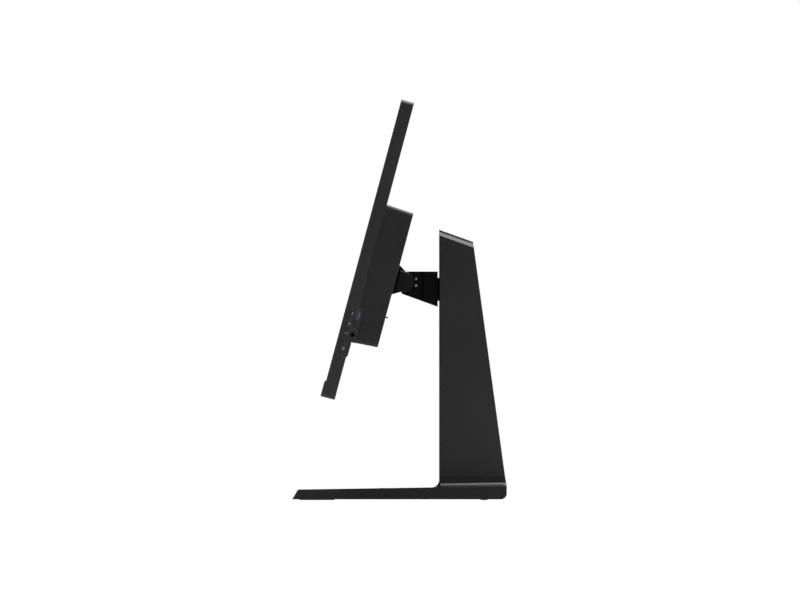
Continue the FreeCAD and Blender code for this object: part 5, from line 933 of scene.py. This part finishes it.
def wovenScreen():
    # two sets of threads crossing over and under; the open squares between them are darker, painted shade
    # standing for the dark inside seen through them
    material, tree, surface = newMaterial("vent_mesh", **{"Roughness": 0.5, "Specular IOR Level": 0.3})
    place = shader(tree, "SeparateXYZ")
    tree.links.new(objectPlace(tree), place.inputs[0])
    turn = 2 * math.pi / screenLook["weavePitch"]
    threads = []
    for axis in ("X", "Z"):
        wave = math2(tree, "SINE", math2(tree, "MULTIPLY", place.outputs[axis], turn))
        threads.append(ramp(tree, wave, -0.2, 0.6))
    height = math2(tree, "MAXIMUM", threads[0], threads[1])
    # near black where the threads part: painted shade of the inside behind the vents
    tree.links.new(blendColours(tree, height, grey(0.0008), grey(0.014)), surface.inputs["Base Color"])
    addBump(tree, surface, height, 0.00015)
    return material


meshMaterial = wovenScreen()


def makeDustAndShadeScreens():
    # each sheet sags a little between its glued edges: y = y0 - wave (1 - u^2)(1 - v^2)
    rearY = uprightBox("rear_housing")[1][1]
    shapes = []
    u, v = np.meshgrid(np.linspace(-1, 1, 41), np.linspace(-1, 1, 9), indexing="ij")
    for side in (-1, 1):
        sag = screenLook["wave"] * (1 - u ** 2) * (1 - v ** 2)
        y = rearY - screenLook["wall"] - screenLook["clear"] - sag
        x = side * screenLook["fromMiddle"] + u * screenLook["wideHalf"]
        z = screenLook["aboveHinge"] + v * screenLook["tallHalf"]
        front = np.stack([x, y - screenLook["thick"], z], -1)
        back = front + (0, screenLook["thick"], 0)
        shapes += [gridShape(sheet) for sheet in (front, back)]
        border = [(0, 0), (-1, 0), (-1, -1), (0, -1)]
        corners = np.array([[sheet[i, j] for i, j in border] for sheet in (front, back)])
        shapes.append(gridShape(corners, wrapColumns=True))
    points, quads = stacked(shapes)
    makePiece("dust_and_shade_screens", (leaned(points), quads), "display", meshMaterial, 50)


makeDustAndShadeScreens()
print("seam foam, mat, camera, dust screens")

# The floor, the lights and the camera. The camera looks along -x, level and without perspective.
stageLook = {"floorSize": 24.0, "floorTone": 0.8, "bounceTone": 0.46, "farTone": 0.12, "fadeFrom": 0.55,
             "fadeTo": 1.25, "fill": 0.26, "viewWide": 0.96, "aimY": 0.00066, "aimZ": 0.240, "away": 3.0}
# each light: its place, its width and height, its power in watts
lightLook = {"topLight": ((0.0, 0.1, 1.9), 2.6, 2.0, 125), "frontLight": ((1.3, -2.6, 1.2), 1.6, 1.2, 16),
             "rearLight": ((-1.2, 2.5, 1.2), 1.6, 1.2, 34), "sideLight": ((2.6, 0.2, 0.9), 1.8, 0.8, 1.6)}


def makeFloor():
    # plain paper that fades with distance into the white behind it; only the camera sees the fade as white
    half = stageLook["floorSize"] / 2
    side = np.linspace(-half, half, 3)
    x, y = np.meshgrid(side, side, indexing="ij")
    points, quads = gridShape(np.stack([x, y, np.zeros_like(x)], -1))
    mesh = bpy.data.meshes.new("floor")
    mesh.from_pydata(points.tolist(), [], quads[:, ::-1].tolist())
    material, tree, surface = newMaterial("floor_paper", **{"Roughness": 0.9, "Specular IOR Level": 0.2})
    place = objectPlace(tree)
    distance = shader(tree, "VectorMath", operation="LENGTH")
    tree.links.new(place, distance.inputs[0])
    fade = ramp(tree, distance.outputs["Value"], stageLook["fadeFrom"], stageLook["fadeTo"])
    soft = noise(tree, place, 3.0, 3.0, 0.5)
    tone = stageLook["floorTone"]
    near = blendColours(tree, soft, grey(tone * 0.99), grey(tone))
    rays = shader(tree, "LightPath")
    bounced = blendColours(tree, fade, grey(stageLook["bounceTone"]), grey(stageLook["farTone"]))
    seen = blendColours(tree, rays.outputs["Is Camera Ray"], bounced, near)
    tree.links.new(seen, surface.inputs["Base Color"])
    white = shader(tree, "Emission", {"Color": grey(1.0), "Strength": 1.0})
    chooser = shader(tree, "MixShader")
    tree.links.new(math2(tree, "MULTIPLY", fade, rays.outputs["Is Camera Ray"]), chooser.inputs[0])
    tree.links.new(surface.outputs[0], chooser.inputs[1])
    tree.links.new(white.outputs[0], chooser.inputs[2])
    tree.links.new(chooser.outputs[0], tree.nodes["Material Output"].inputs["Surface"])
    mesh.materials.append(material)
    floor = bpy.data.objects.new("floor", mesh)
    bpy.context.scene.collection.objects.link(floor)


def softLight(name, place, aim, wide, tall, power):
    light = bpy.data.lights.new(name, "AREA")
    light.shape, light.size, light.size_y, light.energy = "RECTANGLE", wide, tall, power
    lamp = bpy.data.objects.new(name, light)
    bpy.context.scene.collection.objects.link(lamp)
    lamp.location = place
    away = np.array(place, float) - np.array(aim, float)
    turn = math.atan2(away[1], away[0])
    tilt = math.acos(away[2] / np.linalg.norm(away))
    lamp.rotation_euler = (0, tilt, turn)


def makeStudio():
    world = bpy.data.worlds.new("studio")
    bpy.context.scene.world = world
    world.use_nodes = True
    tree = world.node_tree
    tree.nodes.clear()
    seen = shader(tree, "Background", {"Color": grey(1.0), "Strength": 1.0})
    lighting = shader(tree, "Background", {"Color": grey(1.0), "Strength": stageLook["fill"]})
    chooser = shader(tree, "MixShader")
    rays = shader(tree, "LightPath")
    output = shader(tree, "OutputWorld")
    tree.links.new(rays.outputs["Is Camera Ray"], chooser.inputs[0])
    tree.links.new(lighting.outputs[0], chooser.inputs[1])
    tree.links.new(seen.outputs[0], chooser.inputs[2])
    tree.links.new(chooser.outputs[0], output.inputs["Surface"])
    for name, (place, wide, tall, power) in lightLook.items():
        softLight(name, place, (0, 0, 0.2), wide, tall, power)
    bpy.context.scene.view_settings.view_transform = "Standard"


def makeCamera():
    lens = bpy.data.cameras.new("camera")
    lens.type, lens.ortho_scale, lens.clip_end = "ORTHO", stageLook["viewWide"], 60.0
    camera = bpy.data.objects.new("camera", lens)
    bpy.context.scene.collection.objects.link(camera)
    camera.location = (stageLook["away"], stageLook["aimY"], stageLook["aimZ"])
    camera.rotation_euler = (math.pi / 2, 0, math.pi / 2)
    bpy.context.scene.camera = camera


makeFloor()
makeStudio()
makeCamera()
print("stage: floor, four lights, camera")
